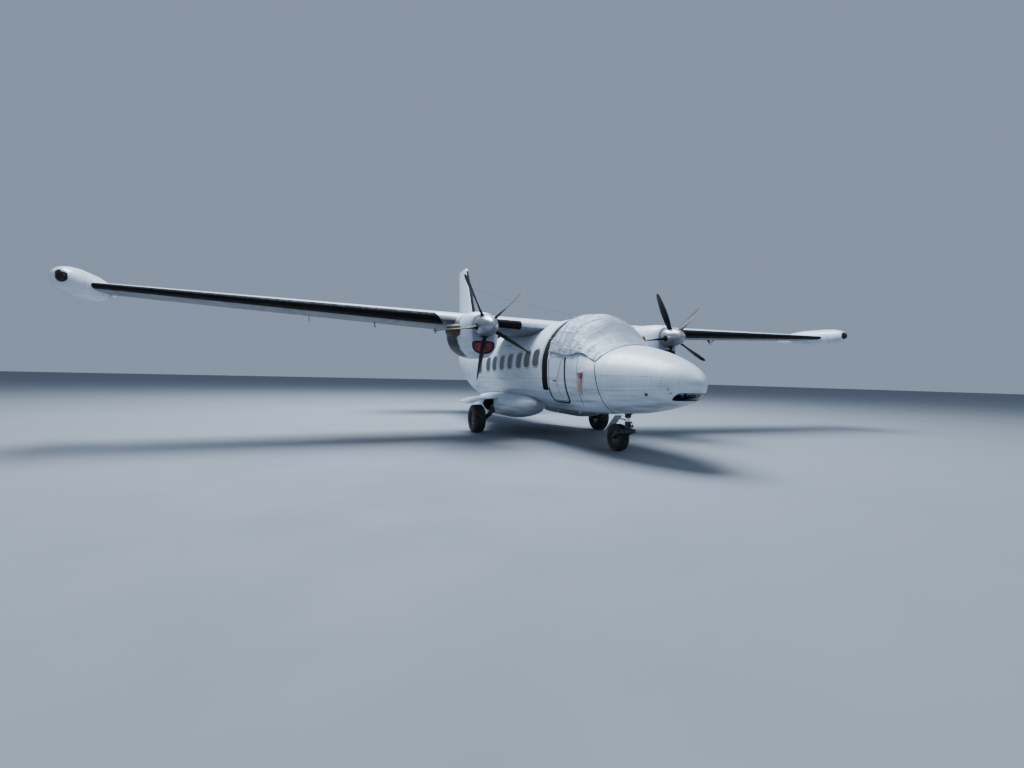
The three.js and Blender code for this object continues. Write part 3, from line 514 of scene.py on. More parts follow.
@dataclass(frozen=True)
class SootPaint(Paint):
    """Cowling paint, blackened by soot on its outboard flank behind the exhaust, deepened to near black as
    painted shade of the flank.

    Attributes:
        soot_and_shade: The colour of the soot and the flank's painted shade.
        reach: The stations between which the soot and painted shade lie.
    """

    soot_and_shade: Colour = (0.012, 0.011, 0.010)
    reach: Pair = (4.32, 6.3)

    def dress(self, recipe: Recipe) -> bpy.types.NodeSocket:
        """Lays soot, deepened into painted shade, over the paint.

        Args:
            recipe: The material's node tree.

        Returns:
            The colour's output.
        """
        colour = Paint.dress(self, recipe)
        first, last = (aft(station) for station in self.reach)
        x, y, z = (recipe.split.outputs[i] for i in range(3))
        ragged = recipe.span(recipe.noise(3.0, 6.0, (1, 0.4, 1.6), (3, 1, 8)), 0.3, 0.7, -0.1, 0.1)
        start = recipe.maths("ADD", y, ragged)
        flank = recipe.maths("ABSOLUTE", x)
        outboard = recipe.span(recipe.maths("ADD", flank, ragged), ENGINE_SPAN + 0.20, ENGINE_SPAN + 0.27)
        along = recipe.maths("MULTIPLY", recipe.span(start, first, first + 0.1),
                             recipe.span(start, last - 0.9, last, 1.0, 0.0))
        below = recipe.span(recipe.maths("ADD", z, ragged), 2.62, 2.8, 1.0, 0.0)
        # Painted shade: the outboard flank behind the exhaust is blackened nearly all the way, for the
        # flank's shade as well as its soot, and its shine lowered.
        mask = recipe.maths("MULTIPLY", recipe.maths("MULTIPLY", outboard, along), below)
        colour = recipe.mix(recipe.maths("MULTIPLY", mask, 0.98), colour, self.soot_and_shade)
        recipe.set(Base_Color=colour, Specular_IOR_Level=recipe.span(mask, 0.0, 1.0, self.shine, 0.08))
        return colour


@dataclass(frozen=True)
class Cloth(Finish):
    """Woven cloth, with its threads on the piece's own UV map.

    Attributes:
        threads: Threads across the UV map, both ways.
        crease: The depth of the fine creases in metres.
    """

    threads: Pair = (900.0, 900.0)
    crease: float = 0.004

    def dress(self, recipe: Recipe) -> bpy.types.NodeSocket:
        """Lays a weave and fine creases over the cloth, with painted shade along the creases.

        Args:
            recipe: The material's node tree.

        Returns:
            The colour's output.
        """
        colour = Finish.dress(self, recipe)
        scaled = recipe.node("ShaderNodeMapping", {0: recipe.coords.outputs["UV"], 3: (*self.threads, 1.0)})
        weave = recipe.node("ShaderNodeTexChecker", {"Vector": scaled.outputs[0], "Scale": 1.0}).outputs[1]
        recipe.bump(weave, 0.0003, 0.5)
        creases = recipe.noise(7.0, 7.0, (1, 1, 1.4), (1, 4, 2))
        recipe.bump(recipe.span(creases, 0.35, 0.65), self.crease, 0.6)
        # Painted shade: the colour darkens towards the worn colour along the creases.
        shade = recipe.mix(recipe.span(creases, 0.5, 0.68, 0.0, 0.35), colour, self.worn)
        recipe.set(Base_Color=shade)
        return shade


@dataclass(frozen=True)
class Glass(Finish):
    """Dark or clear glass.

    Attributes:
        relief: The depth of its unevenness.
        clear: How much light passes.
        bend: Its index of refraction.
    """

    relief: float = 0.0
    clear: float = 0.0
    bend: float = 1.47

    def dress(self, recipe: Recipe) -> bpy.types.NodeSocket:
        """Makes the glass glossy.

        Args:
            recipe: The material's node tree.

        Returns:
            The colour's output.
        """
        colour = Finish.dress(self, recipe)
        recipe.set(Transmission_Weight=self.clear, IOR=self.bend)
        return colour


FRAME_ROWS = Lattice("y", 0.62, aft(3.36), "z")
STRINGER_ROWS = Lattice("arc", 0.42, 0.1, "y")
SPAR_ROWS = Lattice("y", 0.56, aft(5.1), "x")
RIB_ROWS = Lattice("x", 0.75, 0.3, "y")
TAIL_RIBS = Lattice("z", 0.55, 2.9, "y")

# Each paint's belly sets the height under which it darkens with dirt and painted shade.
HULL_PAINT = Paint("hull_paint", coat=0.15, belly=(1.2, 0.75), lattices=(FRAME_ROWS, STRINGER_ROWS))
NOSE_PAINT = Paint("nose_paint", coat=0.15, belly=(1.1, 0.8),
                   lattices=(Lattice("y", 0.36, aft(0.64), "z", 0.05),))
WING_PAINT = WingPaint("wing_paint", lattices=(SPAR_ROWS, RIB_ROWS), belly=(2.5, 0.3))
FIN_PAINT = Paint("fin_paint", lattices=(TAIL_RIBS,), belly=(2.4, 0.2))
PLAIN_PAINT = Paint("plain_paint", roughness=0.35)
FAIRING_PAINT = Paint("fairing_paint", roughness=0.35, belly=(0.85, 0.7),
                      lattices=(Lattice("y", 0.9, aft(5.3), "z"),))
COWL_PAINT = SootPaint("cowl_paint", roughness=0.40, coat=0.05, belly=(1.9, 0.45),
                       lattices=(Lattice("y", 0.62, aft(4.52), "z"),))
TANK_PAINT = Paint("tank_paint", roughness=0.3, coat=0.3, belly=(2.85, 0.25),
                   lattices=(Lattice("y", 0.8, aft(4.86), "z"),))
LINING = Finish("door_lining", (0.26, 0.27, 0.26), (0.18, 0.18, 0.17), 0.6)
WELL_LINING = Finish("well_lining", (0.09, 0.09, 0.085), (0.04, 0.04, 0.04), 0.7)
BOOT_RUBBER = Finish("boot_rubber", (0.006, 0.006, 0.007), (0.016, 0.016, 0.017), 0.75, spread=0.4,
                     shine=0.15)
SEAL_RUBBER = Finish("seal_rubber", (0.012, 0.012, 0.013), (0.03, 0.03, 0.03), 0.6)
WINDOW_GLASS = Glass("window_glass", (0.055, 0.062, 0.068), (0.09, 0.10, 0.105), 0.10)
LAMP_COVER = Glass("lamp_cover", (0.80, 0.84, 0.88), (0.74, 0.78, 0.82), 0.02, clear=1.0, bend=1.10)
LAMP_LINING = Finish("lamp_lining", (0.010, 0.010, 0.011), (0.02, 0.02, 0.02), 0.8)
TANK_LAMP = Glass("tank_lamp", (0.012, 0.013, 0.015), (0.05, 0.055, 0.06), 0.08, shine=0.25)
LAMP_SILVER = Finish("lamp_silver", (0.9, 0.9, 0.88), (0.7, 0.7, 0.68), 0.08, 1.0, relief=0.0)
WINDOW_FRAME = Finish("window_frame", (0.62, 0.64, 0.66), (0.5, 0.5, 0.5), 0.35, 0.6)
BLADE_PAINT = Finish("blade_paint", (0.010, 0.010, 0.011), (0.024, 0.024, 0.025), 0.55, blotch=6.0,
                     shine=0.25)
BLADE_EDGE = Finish("blade_edge", (0.070, 0.070, 0.068), (0.04, 0.04, 0.04), 0.55, 0.2, blotch=4.0,
                    shine=0.3)
SPINNER_SHEEN = Finish("spinner_sheen", (0.37, 0.385, 0.42), (0.20, 0.21, 0.23), 0.32, 0.75, blotch=8.0,
                       relief=0.00015, stretch=(1, 4, 1))
BURNT_STEEL = Finish("burnt_steel", (0.115, 0.082, 0.058), (0.018, 0.016, 0.015), 0.5, 0.7, blotch=9.0,
                     spread=0.95)
GEAR_STEEL = Finish("gear_steel_paint", (0.06, 0.062, 0.064), (0.02, 0.018, 0.016), 0.45, 0.4, blotch=14.0,
                    spread=0.8)
CHROME = Finish("oleo_chrome", (0.8, 0.8, 0.8), (0.6, 0.58, 0.55), 0.1, 1.0, blotch=20.0, relief=0.0)
WHEEL_ALLOY = Finish("wheel_alloy", (0.22, 0.225, 0.23), (0.06, 0.058, 0.055), 0.5, 0.5, blotch=16.0,
                     spread=0.8)
BRAKE_STEEL = Finish("brake_steel", (0.25, 0.22, 0.19), (0.12, 0.07, 0.04), 0.4, 0.9, blotch=24.0)
TYRE_RUBBER = Finish("tyre_rubber", (0.022, 0.022, 0.022), (0.075, 0.068, 0.06), 0.82, blotch=9.0,
                     spread=0.7, relief=0.0008, grain=140.0, sheen=0.1)
COVER_CLOTH = Cloth("cover_cloth_finish", (0.27, 0.315, 0.385), (0.17, 0.20, 0.25), 0.5, 0.15, blotch=2.4,
                    spread=0.75, crease=0.002, sheen=0.2, threads=(1800.0, 2400.0), relief=0.001,
                    grain=30.0)
COVER_BINDING = Finish("cover_binding", (0.22, 0.25, 0.30), (0.15, 0.17, 0.20), 0.7, sheen=0.2)
FADED_CLOTH = Cloth("faded_cloth", (0.52, 0.27, 0.21), (0.40, 0.30, 0.27), 0.8, blotch=10.0, sheen=0.3,
                    threads=(120.0, 300.0), crease=0.001)
PLUG_CLOTH = Cloth("plug_cloth_finish", (0.30, 0.055, 0.06), (0.085, 0.022, 0.026), 0.8, blotch=9.0,
                   spread=0.9, sheen=0.35, threads=(240.0, 240.0), crease=0.002)
RED_LAMP = Glass("red_lamp", (0.5, 0.01, 0.01), (0.4, 0.01, 0.01), 0.08, clear=0.4)
GREEN_LAMP = Glass("green_lamp", (0.01, 0.3, 0.08), (0.01, 0.25, 0.06), 0.08, clear=0.4)
AERIAL_WHITE = Finish("aerial_white", (0.7, 0.71, 0.72), (0.5, 0.5, 0.5), 0.4)
DARK_METAL = Finish("dark_metal", (0.07, 0.072, 0.075), (0.04, 0.04, 0.04), 0.5, 0.4, blotch=15.0)
BARE_METAL = Finish("bare_metal", (0.55, 0.56, 0.57), (0.35, 0.35, 0.35), 0.32, 1.0, blotch=15.0)
FLOOR_FINISH = Finish("floor_finish", (0.215, 0.235, 0.265), (0.19, 0.21, 0.24), 0.9, blotch=0.2,
                      relief=0.0, spread=0.5)


# Shaping

WELD_REACH = 2e-5
CUT_REACH = 1e-7
SOFT_TURN = radians(40)
CORNER_STEPS = 8


class Shaper:
    """A mesh being shaped, from its first grid or circle to the finished piece."""

    def __init__(self) -> None:
        """Starts an empty mesh with a UV map."""
        self.bm = bmesh.new()
        self.bm.loops.layers.uv.new("UVMap")

    @classmethod
    def wrapped(cls, columns: int, rows: int, place: Place, closed: bool = True) -> Shaper:
        """Lays a grid over a surface.

        Args:
            columns: Faces one way.
            rows: Faces the other way.
            place: Where a share of the columns and of the rows lies.
            closed: Whether open ends are filled.

        Returns:
            The shaped mesh.
        """
        shaper = cls()
        made = bmesh.ops.create_grid(
            shaper.bm, x_segments=columns, y_segments=rows, size=0.5, calc_uvs=True)
        for vertex in made["verts"]:
            vertex.co = place(vertex.co.x + 0.5, vertex.co.y + 0.5)
        shaper.weld()
        if closed:
            shaper.fill()
        return shaper

    @classmethod
    def lofted(cls, rings: Sequence[Sequence[Vector]]) -> Shaper:
        """Lays a grid through rings of equally many points, each ring closed on itself.

        Args:
            rings: The rings, from one end to the other.

        Returns:
            The closed mesh.
        """
        count, last = len(rings[0]), len(rings) - 1

        def place(u: float, v: float) -> Vector:
            """The ring point nearest to two shares."""
            return rings[round(v * last)][round(u * count) % count]

        return cls.wrapped(count, last, place)

    @classmethod
    def spun(cls, profile: Sequence[Pair], centre: Vector, axis: Vector,
             steps: int = 48) -> Shaper:
        """Spins a profile about an axis.

        Args:
            profile: Distances along the axis and away from it.
            centre: The axis's zero point.
            axis: The axis's direction.
            steps: Faces the way round.

        Returns:
            The closed mesh.
        """
        shaper = cls()
        outward = axis.orthogonal().normalized()
        points = [centre + axis * along + outward * away for along, away in profile]
        chain = [shaper.bm.verts.new(point) for point in points]
        edges = [shaper.bm.edges.new(pair) for pair in zip(chain, chain[1:])]
        bmesh.ops.spin(shaper.bm, geom=chain + edges, cent=centre, axis=axis, dvec=(0, 0, 0),
                       angle=2 * pi, steps=steps, use_merge=True, use_duplicate=False)
        shaper.weld()
        shaper.fill()
        return shaper

    @classmethod
    def tube(cls, points: Sequence[Vector], radii: Sequence[float], sides: int = 12,
             flat: float = 1.0) -> Shaper:
        """Lays a tube along a path.

        Args:
            points: The path.
            radii: The radius at each point.
            sides: Faces the way round.
            flat: The tube's height as a share of its width.

        Returns:
            The closed mesh.
        """
        rings = []
        for i, point in enumerate(points):
            ahead = points[min(i + 1, len(points) - 1)] - points[max(i - 1, 0)]
            forward = ahead.normalized()
            across = forward.cross(UP)
            across = across.normalized() if across.length > 1e-3 else ACROSS
            up = across.cross(forward)
            rings.append([point + (across * cos(a) + up * sin(a) * flat) * radii[i] for a in circle(sides)])
        return cls.lofted(rings)

    @classmethod
    def turned(cls, rows: Sequence[Pair], centre: Vector, steps: int) -> Shaper:
        """Spins stations and radii about a line from nose to tail through a centre at Y 0."""
        return cls.spun([(aft(station), radius) for station, radius in rows], centre, AFTWARD, steps)

    @classmethod
    def drum(cls, low: float, high: float, radius: float, centre: Vector, axis: Vector,
             steps: int = 32) -> Shaper:
        """A flat-ended drum between two distances along an axis."""
        return cls.spun([(low, 0.0), (low, radius), (high, radius), (high, 0.0)], centre, axis, steps)

    @classmethod
    def dome(cls, low: float, height: float, radius: float, centre: Vector, axis: Vector,
             steps: int = 32) -> Shaper:
        """A round-topped lens of a height on an axis."""
        rim = [(low + height * sin(a), radius * cos(a)) for a in arc(0, 75, 5)]
        return cls.spun([(low, 0.0), *rim, (low + height, 0.0)], centre, axis, steps)

    def weld(self) -> None:
        """Merges corners that lie on each other."""
        bmesh.ops.remove_doubles(self.bm, verts=self.bm.verts[:], dist=WELD_REACH)

    def fill(self) -> None:
        """Fills open ends and points the faces out."""
        rims = [edge for edge in self.bm.edges if edge.is_boundary]
        if rims:
            bmesh.ops.holes_fill(self.bm, edges=rims, sides=0)
        bmesh.ops.recalc_face_normals(self.bm, faces=self.bm.faces[:])

    def add(self, other: Shaper) -> Shaper:
        """Takes another mesh into this one.

        Args:
            other: The other mesh, which is used up.

        Returns:
            This mesh.
        """
        passing = bpy.data.meshes.new("passing")
        other.bm.to_mesh(passing)
        other.bm.free()
        self.bm.from_mesh(passing)
        bpy.data.meshes.remove(passing)
        return self

    @classmethod
    def gathered(cls, parts: Iterable[Shaper]) -> Shaper:
        """One mesh of several.

        Args:
            parts: The meshes.

        Returns:
            The one mesh.
        """
        whole = cls()
        for part in parts:
            whole.add(part)
        return whole

    def moved(self, turn: Matrix) -> Shaper:
        """Moves the mesh by a matrix, and turns its faces out again after a mirror.

        Args:
            turn: The matrix.

        Returns:
            The same mesh.
        """
        bmesh.ops.transform(self.bm, matrix=turn, verts=self.bm.verts[:])
        if turn.determinant() < 0:
            bmesh.ops.reverse_faces(self.bm, faces=self.bm.faces[:])
        return self

    def softened(self, width: float) -> Shaper:
        """Bevels the edges that turn by more than a soft angle.

        Args:
            width: The bevel's width.

        Returns:
            The same mesh.
        """
        edges = [e for e in self.bm.edges if e.is_manifold and e.calc_face_angle(0.0) > SOFT_TURN]
        bmesh.ops.bevel(self.bm, geom=edges, offset=width, offset_type="OFFSET", segments=2,
                        profile=0.5, affect="EDGES", clamp_overlap=True, material=-1)
        return self


class Plate:
    """An outline drawn flat in a surface's own two directions, then laid on it."""

    def __init__(self, low: Pair, high: Pair, corner: float = 0.0,
                 slant: Pair = (0.0, 0.0), grow: float = 0.0) -> None:
        """Draws the outline.

        Args:
            low: The lowest of both coordinates.
            high: The highest of both coordinates.
            corner: The radius of the corners.
            slant: How far the top is moved along the first coordinate, at its low and high side.
            grow: How far the outline is drawn out past the coordinates, all round.
        """
        low, high = (low[0] - grow, low[1] - grow), (high[0] + grow, high[1] + grow)
        self.shaper = Shaper()
        bm = self.shaper.bm
        bmesh.ops.create_grid(bm, x_segments=1, y_segments=1, size=0.5, calc_uvs=True)
        for vertex in bm.verts:
            share = (vertex.co.x + 0.5, vertex.co.y + 0.5)
            shift = lerp(slant[0], slant[1], share[0]) * share[1]
            vertex.co = (lerp(low[0], high[0], share[0]) + shift, lerp(low[1], high[1], share[1]), 0)
        if corner:
            bmesh.ops.bevel(bm, geom=bm.verts[:], offset=corner, offset_type="OFFSET", segments=CORNER_STEPS,
                            profile=0.5, affect="VERTICES", clamp_overlap=True, material=-1)

    def bordered(self, width: float) -> Plate:
        """Keeps only a border of a width inside the outline.

        Args:
            width: The border's width.

        Returns:
            The same plate.
        """
        bm = self.shaper.bm
        inner = bm.faces[:]
        bmesh.ops.inset_region(bm, faces=inner, thickness=width, use_even_offset=True, use_boundary=True)
        bmesh.ops.delete(bm, geom=inner, context="FACES")
        return self

    def laid(self, place: Laid, low: float, high: float, step: Pair) -> Shaper:
        """Cuts the plate finely, makes it thick and lays it on a surface.

        Args:
            place: Where the two coordinates and a height above the surface lie.
            low: The height of its underside.
            high: The height of its outer face.
            step: The distance between cuts, both ways.

        Returns:
            The closed mesh.
        """
        bm = self.shaper.bm
        for axis, distance in enumerate(step):
            ends = [vertex.co[axis] for vertex in bm.verts]
            count = ceil((max(ends) - min(ends)) / distance)
            direction = Vector((1 - axis, axis, 0))
            for k in range(1, count):
                bmesh.ops.bisect_plane(
                    bm, geom=bm.verts[:] + bm.edges[:] + bm.faces[:], dist=CUT_REACH,
                    plane_co=direction * lerp(min(ends), max(ends), k / count), plane_no=direction)
        made = bmesh.ops.extrude_face_region(bm, geom=bm.faces[:], use_keep_orig=True)
        raised = {item for item in made["geom"] if isinstance(item, bmesh.types.BMVert)}
        for vertex in bm.verts:
            vertex.co = place(vertex.co.x, vertex.co.y, high if vertex in raised else low)
        bmesh.ops.recalc_face_normals(bm, faces=bm.faces[:])
        return self.shaper


def placed(name: str, shaper: Shaper, finish: Finish) -> bpy.types.Object:
    """A new object of a shaped mesh with a finish.

    Args:
        name: The object's name.
        shaper: The mesh, which is used up.
        finish: The finish.

    Returns:
        The object.
    """
    mesh = bpy.data.meshes.new(name)
    shaper.bm.to_mesh(mesh)
    shaper.bm.free()
    mesh.materials.append(finish.build())
    made = bpy.data.objects.new(name, mesh)
    bpy.context.scene.collection.objects.link(made)
    return made


def mirrored(side: Side) -> Matrix:
    """Turns a port mesh into the one on a side."""
    return Matrix.Diagonal((side, 1, 1, 1))


def both(build: Callable[[Side], None]) -> None:
    """Builds something on both sides."""
    for side in Side:
        build(side)


def show(name: str, shape: Shaper | Iterable[Shaper], finish: Finish, slot: Slot | None = None,
         node: str = "", body: str = AIRFRAME, side: Side | None = None, cutters: Sequence[Shaper] = (),
         lining: Finish = LINING, sharp: float = 32.0) -> bpy.types.Object:
    """Makes a finished piece of a shaped mesh.

    Args:
        name: The piece's name.
        shape: Its mesh, or the meshes that it is made up of.
        finish: Its finish.
        slot: The record's slot for the piece's finish; not used.
        node: The frame's node that it stands for.
        body: The body that it rides on.
        side: The side that it goes to, where it is shaped as the port one. It ends all the names.
        cutters: Meshes to cut out of it.
        lining: The finish of the cut faces.
        sharp: The angle in degrees past which an edge stays sharp.

    Returns:
        The new object.
    """
    shaper = shape if isinstance(shape, Shaper) else Shaper.gathered(shape)
    end = ""
    if side:
        end = f"_{side.word}"
        for mesh in (shaper, *cutters):
            mesh.moved(mirrored(side))
    made = placed(name + end, shaper, finish)
    if cutters:
        carve(made, cutters, lining)
    crease(made.data, sharp)
    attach(made, body if body == AIRFRAME else body + end)
    if node:
        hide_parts(node + end)
    LOG.info("%s: %d faces", made.name, len(made.data.polygons))
    return made


def carve(made: bpy.types.Object, cutters: Sequence[Shaper], lining: Finish) -> None:
    """Cuts meshes out of a piece.

    Args:
        made: The piece.
        cutters: The meshes to cut out, one after another.
        lining: The finish of the cut faces.
    """
    tools = []
    for cutter in cutters:
        tool = placed("cutter", cutter, lining)
        cut = made.modifiers.new("cut", "BOOLEAN")
        cut.operation = "DIFFERENCE"
        cut.solver = "EXACT"
        cut.material_mode = "TRANSFER"
        cut.object = tool
        tools.append(tool)
    graph = bpy.context.evaluated_depsgraph_get()
    done = bpy.data.meshes.new_from_object(made.evaluated_get(graph), depsgraph=graph)
    made.modifiers.clear()
    made.data = done
    for tool in tools:
        bpy.data.objects.remove(tool)


def crease(mesh: bpy.types.Mesh, sharp: float) -> None:
    """Smooths a mesh's faces and keeps its sharp edges sharp.

    Args:
        mesh: The mesh.
        sharp: The angle in degrees past which an edge stays sharp.
    """
    bm = bmesh.new()
    bm.from_mesh(mesh)
    for face in bm.faces:
        face.smooth = True
    for edge in bm.edges:
        edge.smooth = not edge.is_manifold or edge.calc_face_angle(0.0) < radians(sharp)
    bm.to_mesh(mesh)
    bm.free()


# Bodies of oval sections


@dataclass
class OvalBody:
    """A body of oval sections along the aircraft, smooth between the rows of its table.

    Attributes:
        rows: Station, middle, half width, bottom, widest height and top of each section, and then
            how square it is above and below its widest height, where the whole body's power isn't used.
        power: How square the sections are; 2 is an ellipse.
        blunt: Whether the body starts at a point, so that its nose is round.
    """

    rows: tuple[tuple[float, ...], ...]
    power: float = 2.0
    blunt: bool = False
    tracks: list[Track] = field(init=False)

    def __post_init__(self) -> None:
        """Makes a smooth track of each column."""
        places = [self.warp(row[0]) for row in self.rows]
        rows = [(*row, self.power, self.power)[:8] for row in self.rows]
        self.tracks = [Track(places, column) for column in list(zip(*rows))[1:]]

    def warp(self, station: float) -> float:
        """A station as the tracks count it."""
        ahead = max(station - self.rows[0][0], 0.0)
        return sqrt(ahead) if self.blunt else ahead

    def sizes(self, station: float) -> list[float]:
        """Middle, half width, bottom, widest height, top and both powers at a station."""
        place = self.warp(station)
        return [track.at(place) for track in self.tracks]

    def part(self, sizes: Sequence[float], over: bool) -> Pair:
        """The reach and the power of a section above or below its widest height."""
        _, _, bottom, widest, top, upper, lower = sizes
        return (top - widest, upper) if over else (widest - bottom, lower)

    def around(self, station: float, angle: float, inset: float = 0.0) -> Vector:
        """The skin's point at a station and an angle from +X up.

        Args:
            station: The station.
            angle: The angle in radians.
            inset: How far the point is drawn in.

        Returns:
            The point.
        """
        sizes = self.sizes(station)
        reach, power = self.part(sizes, sin(angle) > 0)
        across, up = (copysign(abs(way) ** (2 / power), way) for way in (cos(angle), sin(angle)))
        return at(sizes[0] + (sizes[1] - inset) * across, station, sizes[3] + (reach - inset) * up)

    def turn(self, station: float, height: float, sign: int) -> float:
        """The angle at which the skin has a height, on one side.

        Args:
            station: The station.
            height: The height.
            sign: The side's sign of X.

        Returns:
            The angle in radians from +X up.
        """
        sizes = self.sizes(station)
        over = height > sizes[3]
        reach, power = self.part(sizes, over)
        share = clamp(abs(height - sizes[3]) / max(reach, 1e-6))
        angle = asin(share ** (power / 2)) * (1 if over else -1)
        return angle if sign > 0 else pi - angle

    def side(self, station: float, height: float, sign: int) -> Vector:
        """The skin's point at a station and a height, on one side."""
        return self.around(station, self.turn(station, height, sign))

    def roof(self, station: float, across: float, up: int = 1) -> Vector:
        """The skin's point at a station and a distance from the middle, above or below.

        Args:
            station: The station.
            across: The distance from the middle.
            up: 1 for above, -1 for below.

        Returns:
            The point.
        """
        sizes = self.sizes(station)
        reach, power = self.part(sizes, up > 0)
        share = clamp(abs(across - sizes[0]) / max(sizes[1], 1e-6))
        return at(across, station, sizes[3] + up * reach * (1 - share**power) ** (1 / power))

    def level(self, point: Vector) -> float:
        """Below 1 inside the body, 1 on its skin.

        Args:
            point: The point.

        Returns:
            The level.
        """
        sizes = self.sizes(point.y - SHIFT)
        reach, power = self.part(sizes, point.z > sizes[3])
        across = abs(point.x - sizes[0]) / max(sizes[1], 1e-4)
        return (across**power + (abs(point.z - sizes[3]) / max(reach, 1e-4)) ** power) ** (1 / power)

    def front(self, across: float, height: float) -> Vector:
        """The first point of the skin that a line from ahead meets.

        Args:
            across: The distance from the middle.
            height: The height.

        Returns:
            The point.
        """
        low, high = self.rows[0][0], self.rows[0][0] + 2.5
        for _ in range(40):
            middle = (low + high) / 2
            if self.level(at(across, middle, height)) > 1:
                low = middle
            else:
                high = middle
        return at(across, high, height)

    def normal(self, point: Vector) -> Vector:
        """The way out from the skin at a point."""
        ways = [way * 0.002 for way in (ACROSS, AFTWARD, UP)]
        return Vector([self.level(point + way) - self.level(point - way) for way in ways]).normalized()

    def above(self, point: Vector, height: float) -> Vector:
        """A point of the skin moved out by a height."""
        return point + self.normal(point) * height if height else point

    def on_side(self, sign: int) -> Laid:
        """Lays stations and heights on one side."""
        return lambda s, z, h: self.above(self.side(s, z, sign), h)

    def along_x(self, sign: int) -> Laid:
        """Lays stations and heights on one side, with its thickness along X."""
        return lambda s, z, h: self.side(s, z, sign) + Vector((sign * h, 0, 0))

    def on_nose(self) -> Laid:
        """Lays distances across and heights on the front."""
        return lambda x, z, h: self.above(self.front(x, z), h)

    def round_about(self) -> Laid:
        """Lays stations and angles all the way round."""
        return lambda s, a, h: self.above(self.around(s, a), h)

    def skin(self, stations: Sequence[float], points: int) -> Shaper:
        """The closed skin through the stations."""
        return Shaper.lofted([self.ring(station, points) for station in stations])

    def ring(self, station: float, points: int, inset: float = 0.0) -> list[Vector]:
        """One section of the skin, drawn in by an inset."""
        return [self.around(station, angle, inset) for angle in circle(points, 0.5)]


# Flying surfaces


@dataclass
class Foil:
    """A straight-tapered flying surface between a root and a tip section.

    Attributes:
        root: The leading point, chord and thickness of the root.
        tip: The same of the tip.
        incidence: How far its chord points down aft, in degrees.
        upright: Whether it stands up, as a fin does.
        camber: The height of its middle line as a share of the chord.
    """

    root: tuple[Vector, float, float]
    tip: tuple[Vector, float, float]
    incidence: float = 0.0
    upright: bool = False
    camber: float = 0.0
    chordward: Vector = field(init=False)
    thickward: Vector = field(init=False)

    def __post_init__(self) -> None:
        """Works out the directions of chord and thickness."""
        turn = radians(self.incidence)
        self.chordward = Vector((0, cos(turn), -sin(turn)))
        self.thickward = ACROSS if self.upright else Vector((0, sin(turn), cos(turn)))

    def chord(self, part: float) -> float:
        """The chord at a part of the span."""
        return lerp(self.root[1], self.tip[1], part)

    def half(self, part: float, fraction: float) -> float:
        """Half the thickness at a part of the span and a fraction of the chord.

        Args:
            part: The part of the span.
            fraction: The fraction of the chord.

        Returns:
            That half.
        """
        f = clamp(fraction)
        share = 5 * (0.2969 * sqrt(f) - 0.126 * f - 0.3516 * f**2 + 0.2843 * f**3 - 0.1015 * f**4)
        return share * lerp(self.root[2], self.tip[2], part)

    def point(self, part: float, fraction: float, height: float) -> Vector:
        """The point at a height over the chord line."""
        lead = self.root[0].lerp(self.tip[0], part)
        return lead + self.chordward * (fraction * self.chord(part)) + self.thickward * height

    def middle(self, part: float, fraction: float) -> float:
        """The height of the middle line."""
        f = clamp(fraction)
        return 4 * self.camber * f * (1 - f) * self.chord(part)

    def skin(self, part: float, along: float) -> Vector:
        """The skin's point, from -1 at the lower tail past 0 at the nose to 1 at the upper tail.

        Args:
            part: The part of the span.
            along: The place round the section, from -1 to 1.

        Returns:
            The point.
        """
        fraction = along * along
        reach = copysign(self.half(part, fraction), along)
        return self.point(part, fraction, self.middle(part, fraction) + reach)

    def above(self, part: float, along: float, height: float) -> Vector:
        """A point of the skin moved out by a height.

        Args:
            part: The part of the span.
            along: The place round the section, from -1 to 1.
            height: The height.

        Returns:
            The point.
        """
        step = 0.004
        point = self.skin(part, along)
        if not height:
            return point
        spanwise = self.skin(part + step, along) - self.skin(part - step, along)
        chordwise = self.skin(part, along + step) - self.skin(part, along - step)
        out = spanwise.cross(chordwise).normalized()
        inside = self.point(part, max(along * along, 0.02), self.middle(part, along * along))
        if out.dot(point - inside) < 0:
            out = -out
        return point + out * height

    def panel(self, parts: Sequence[float], half_points: int = 40) -> Shaper:
        """The closed surface through parts of the span."""
        turns = [sin(pi / 2 * k / half_points) for k in range(-half_points, half_points + 1)]
        return Shaper.lofted([[self.skin(part, along) for along in turns] for part in parts])

    def round(self, part: float, hinge: float, reach: float, turns: Sequence[float]) -> list[Vector]:
        """Points at angles round the hinge line.

        Args:
            part: The part of the span.
            hinge: The hinge line's fraction of the chord.
            reach: The distance from it.
            turns: The angles in radians.

        Returns:
            The points, in order.
        """
        middle = self.middle(part, hinge)
        return [self.point(part, hinge + reach * cos(a) / self.chord(part), middle + reach * sin(a))
                for a in turns]

    def mover(self, parts: Sequence[float], hinge: float) -> Shaper:
        """The moving part behind a hinge fraction, with a round nose about the hinge line.

        Args:
            parts: The parts of the span.
            hinge: The hinge line's fraction of the chord.

        Returns:
            The closed mesh.
        """
        rings = []
        for part in parts:
            backs = [lerp(1.0, hinge, k / 8) for k in range(8)]
            nose = self.round(part, hinge, self.half(part, hinge), arc(90, 270, 14))
            upper = [self.skin(part, sqrt(f)) for f in backs]
            lower = [self.skin(part, -sqrt(f)) for f in reversed(backs)]
            rings.append(upper + nose + lower)
        return Shaper.lofted(rings)

    def cove(self, parts: Sequence[float], hinge: float, gap: float) -> Shaper:
        """The space that a moving part needs, a gap larger all round and open behind.

        Args:
            parts: The parts of the span.
            hinge: The hinge line's fraction of the chord.
            gap: The gap.

        Returns:
            The closed mesh.
        """
        rings = []
        for part in parts:
            reach = self.half(part, hinge) + gap
            middle, far = self.middle(part, hinge), reach + 0.15
            outside = [self.point(part, fraction, middle + height) for fraction, height in (
                (hinge, far), (1.2, far), (1.2, -far), (hinge, -far))]
            rings.append(self.round(part, hinge, reach, arc(270, 90, 16)) + outside)
        return Shaper.lofted(rings)


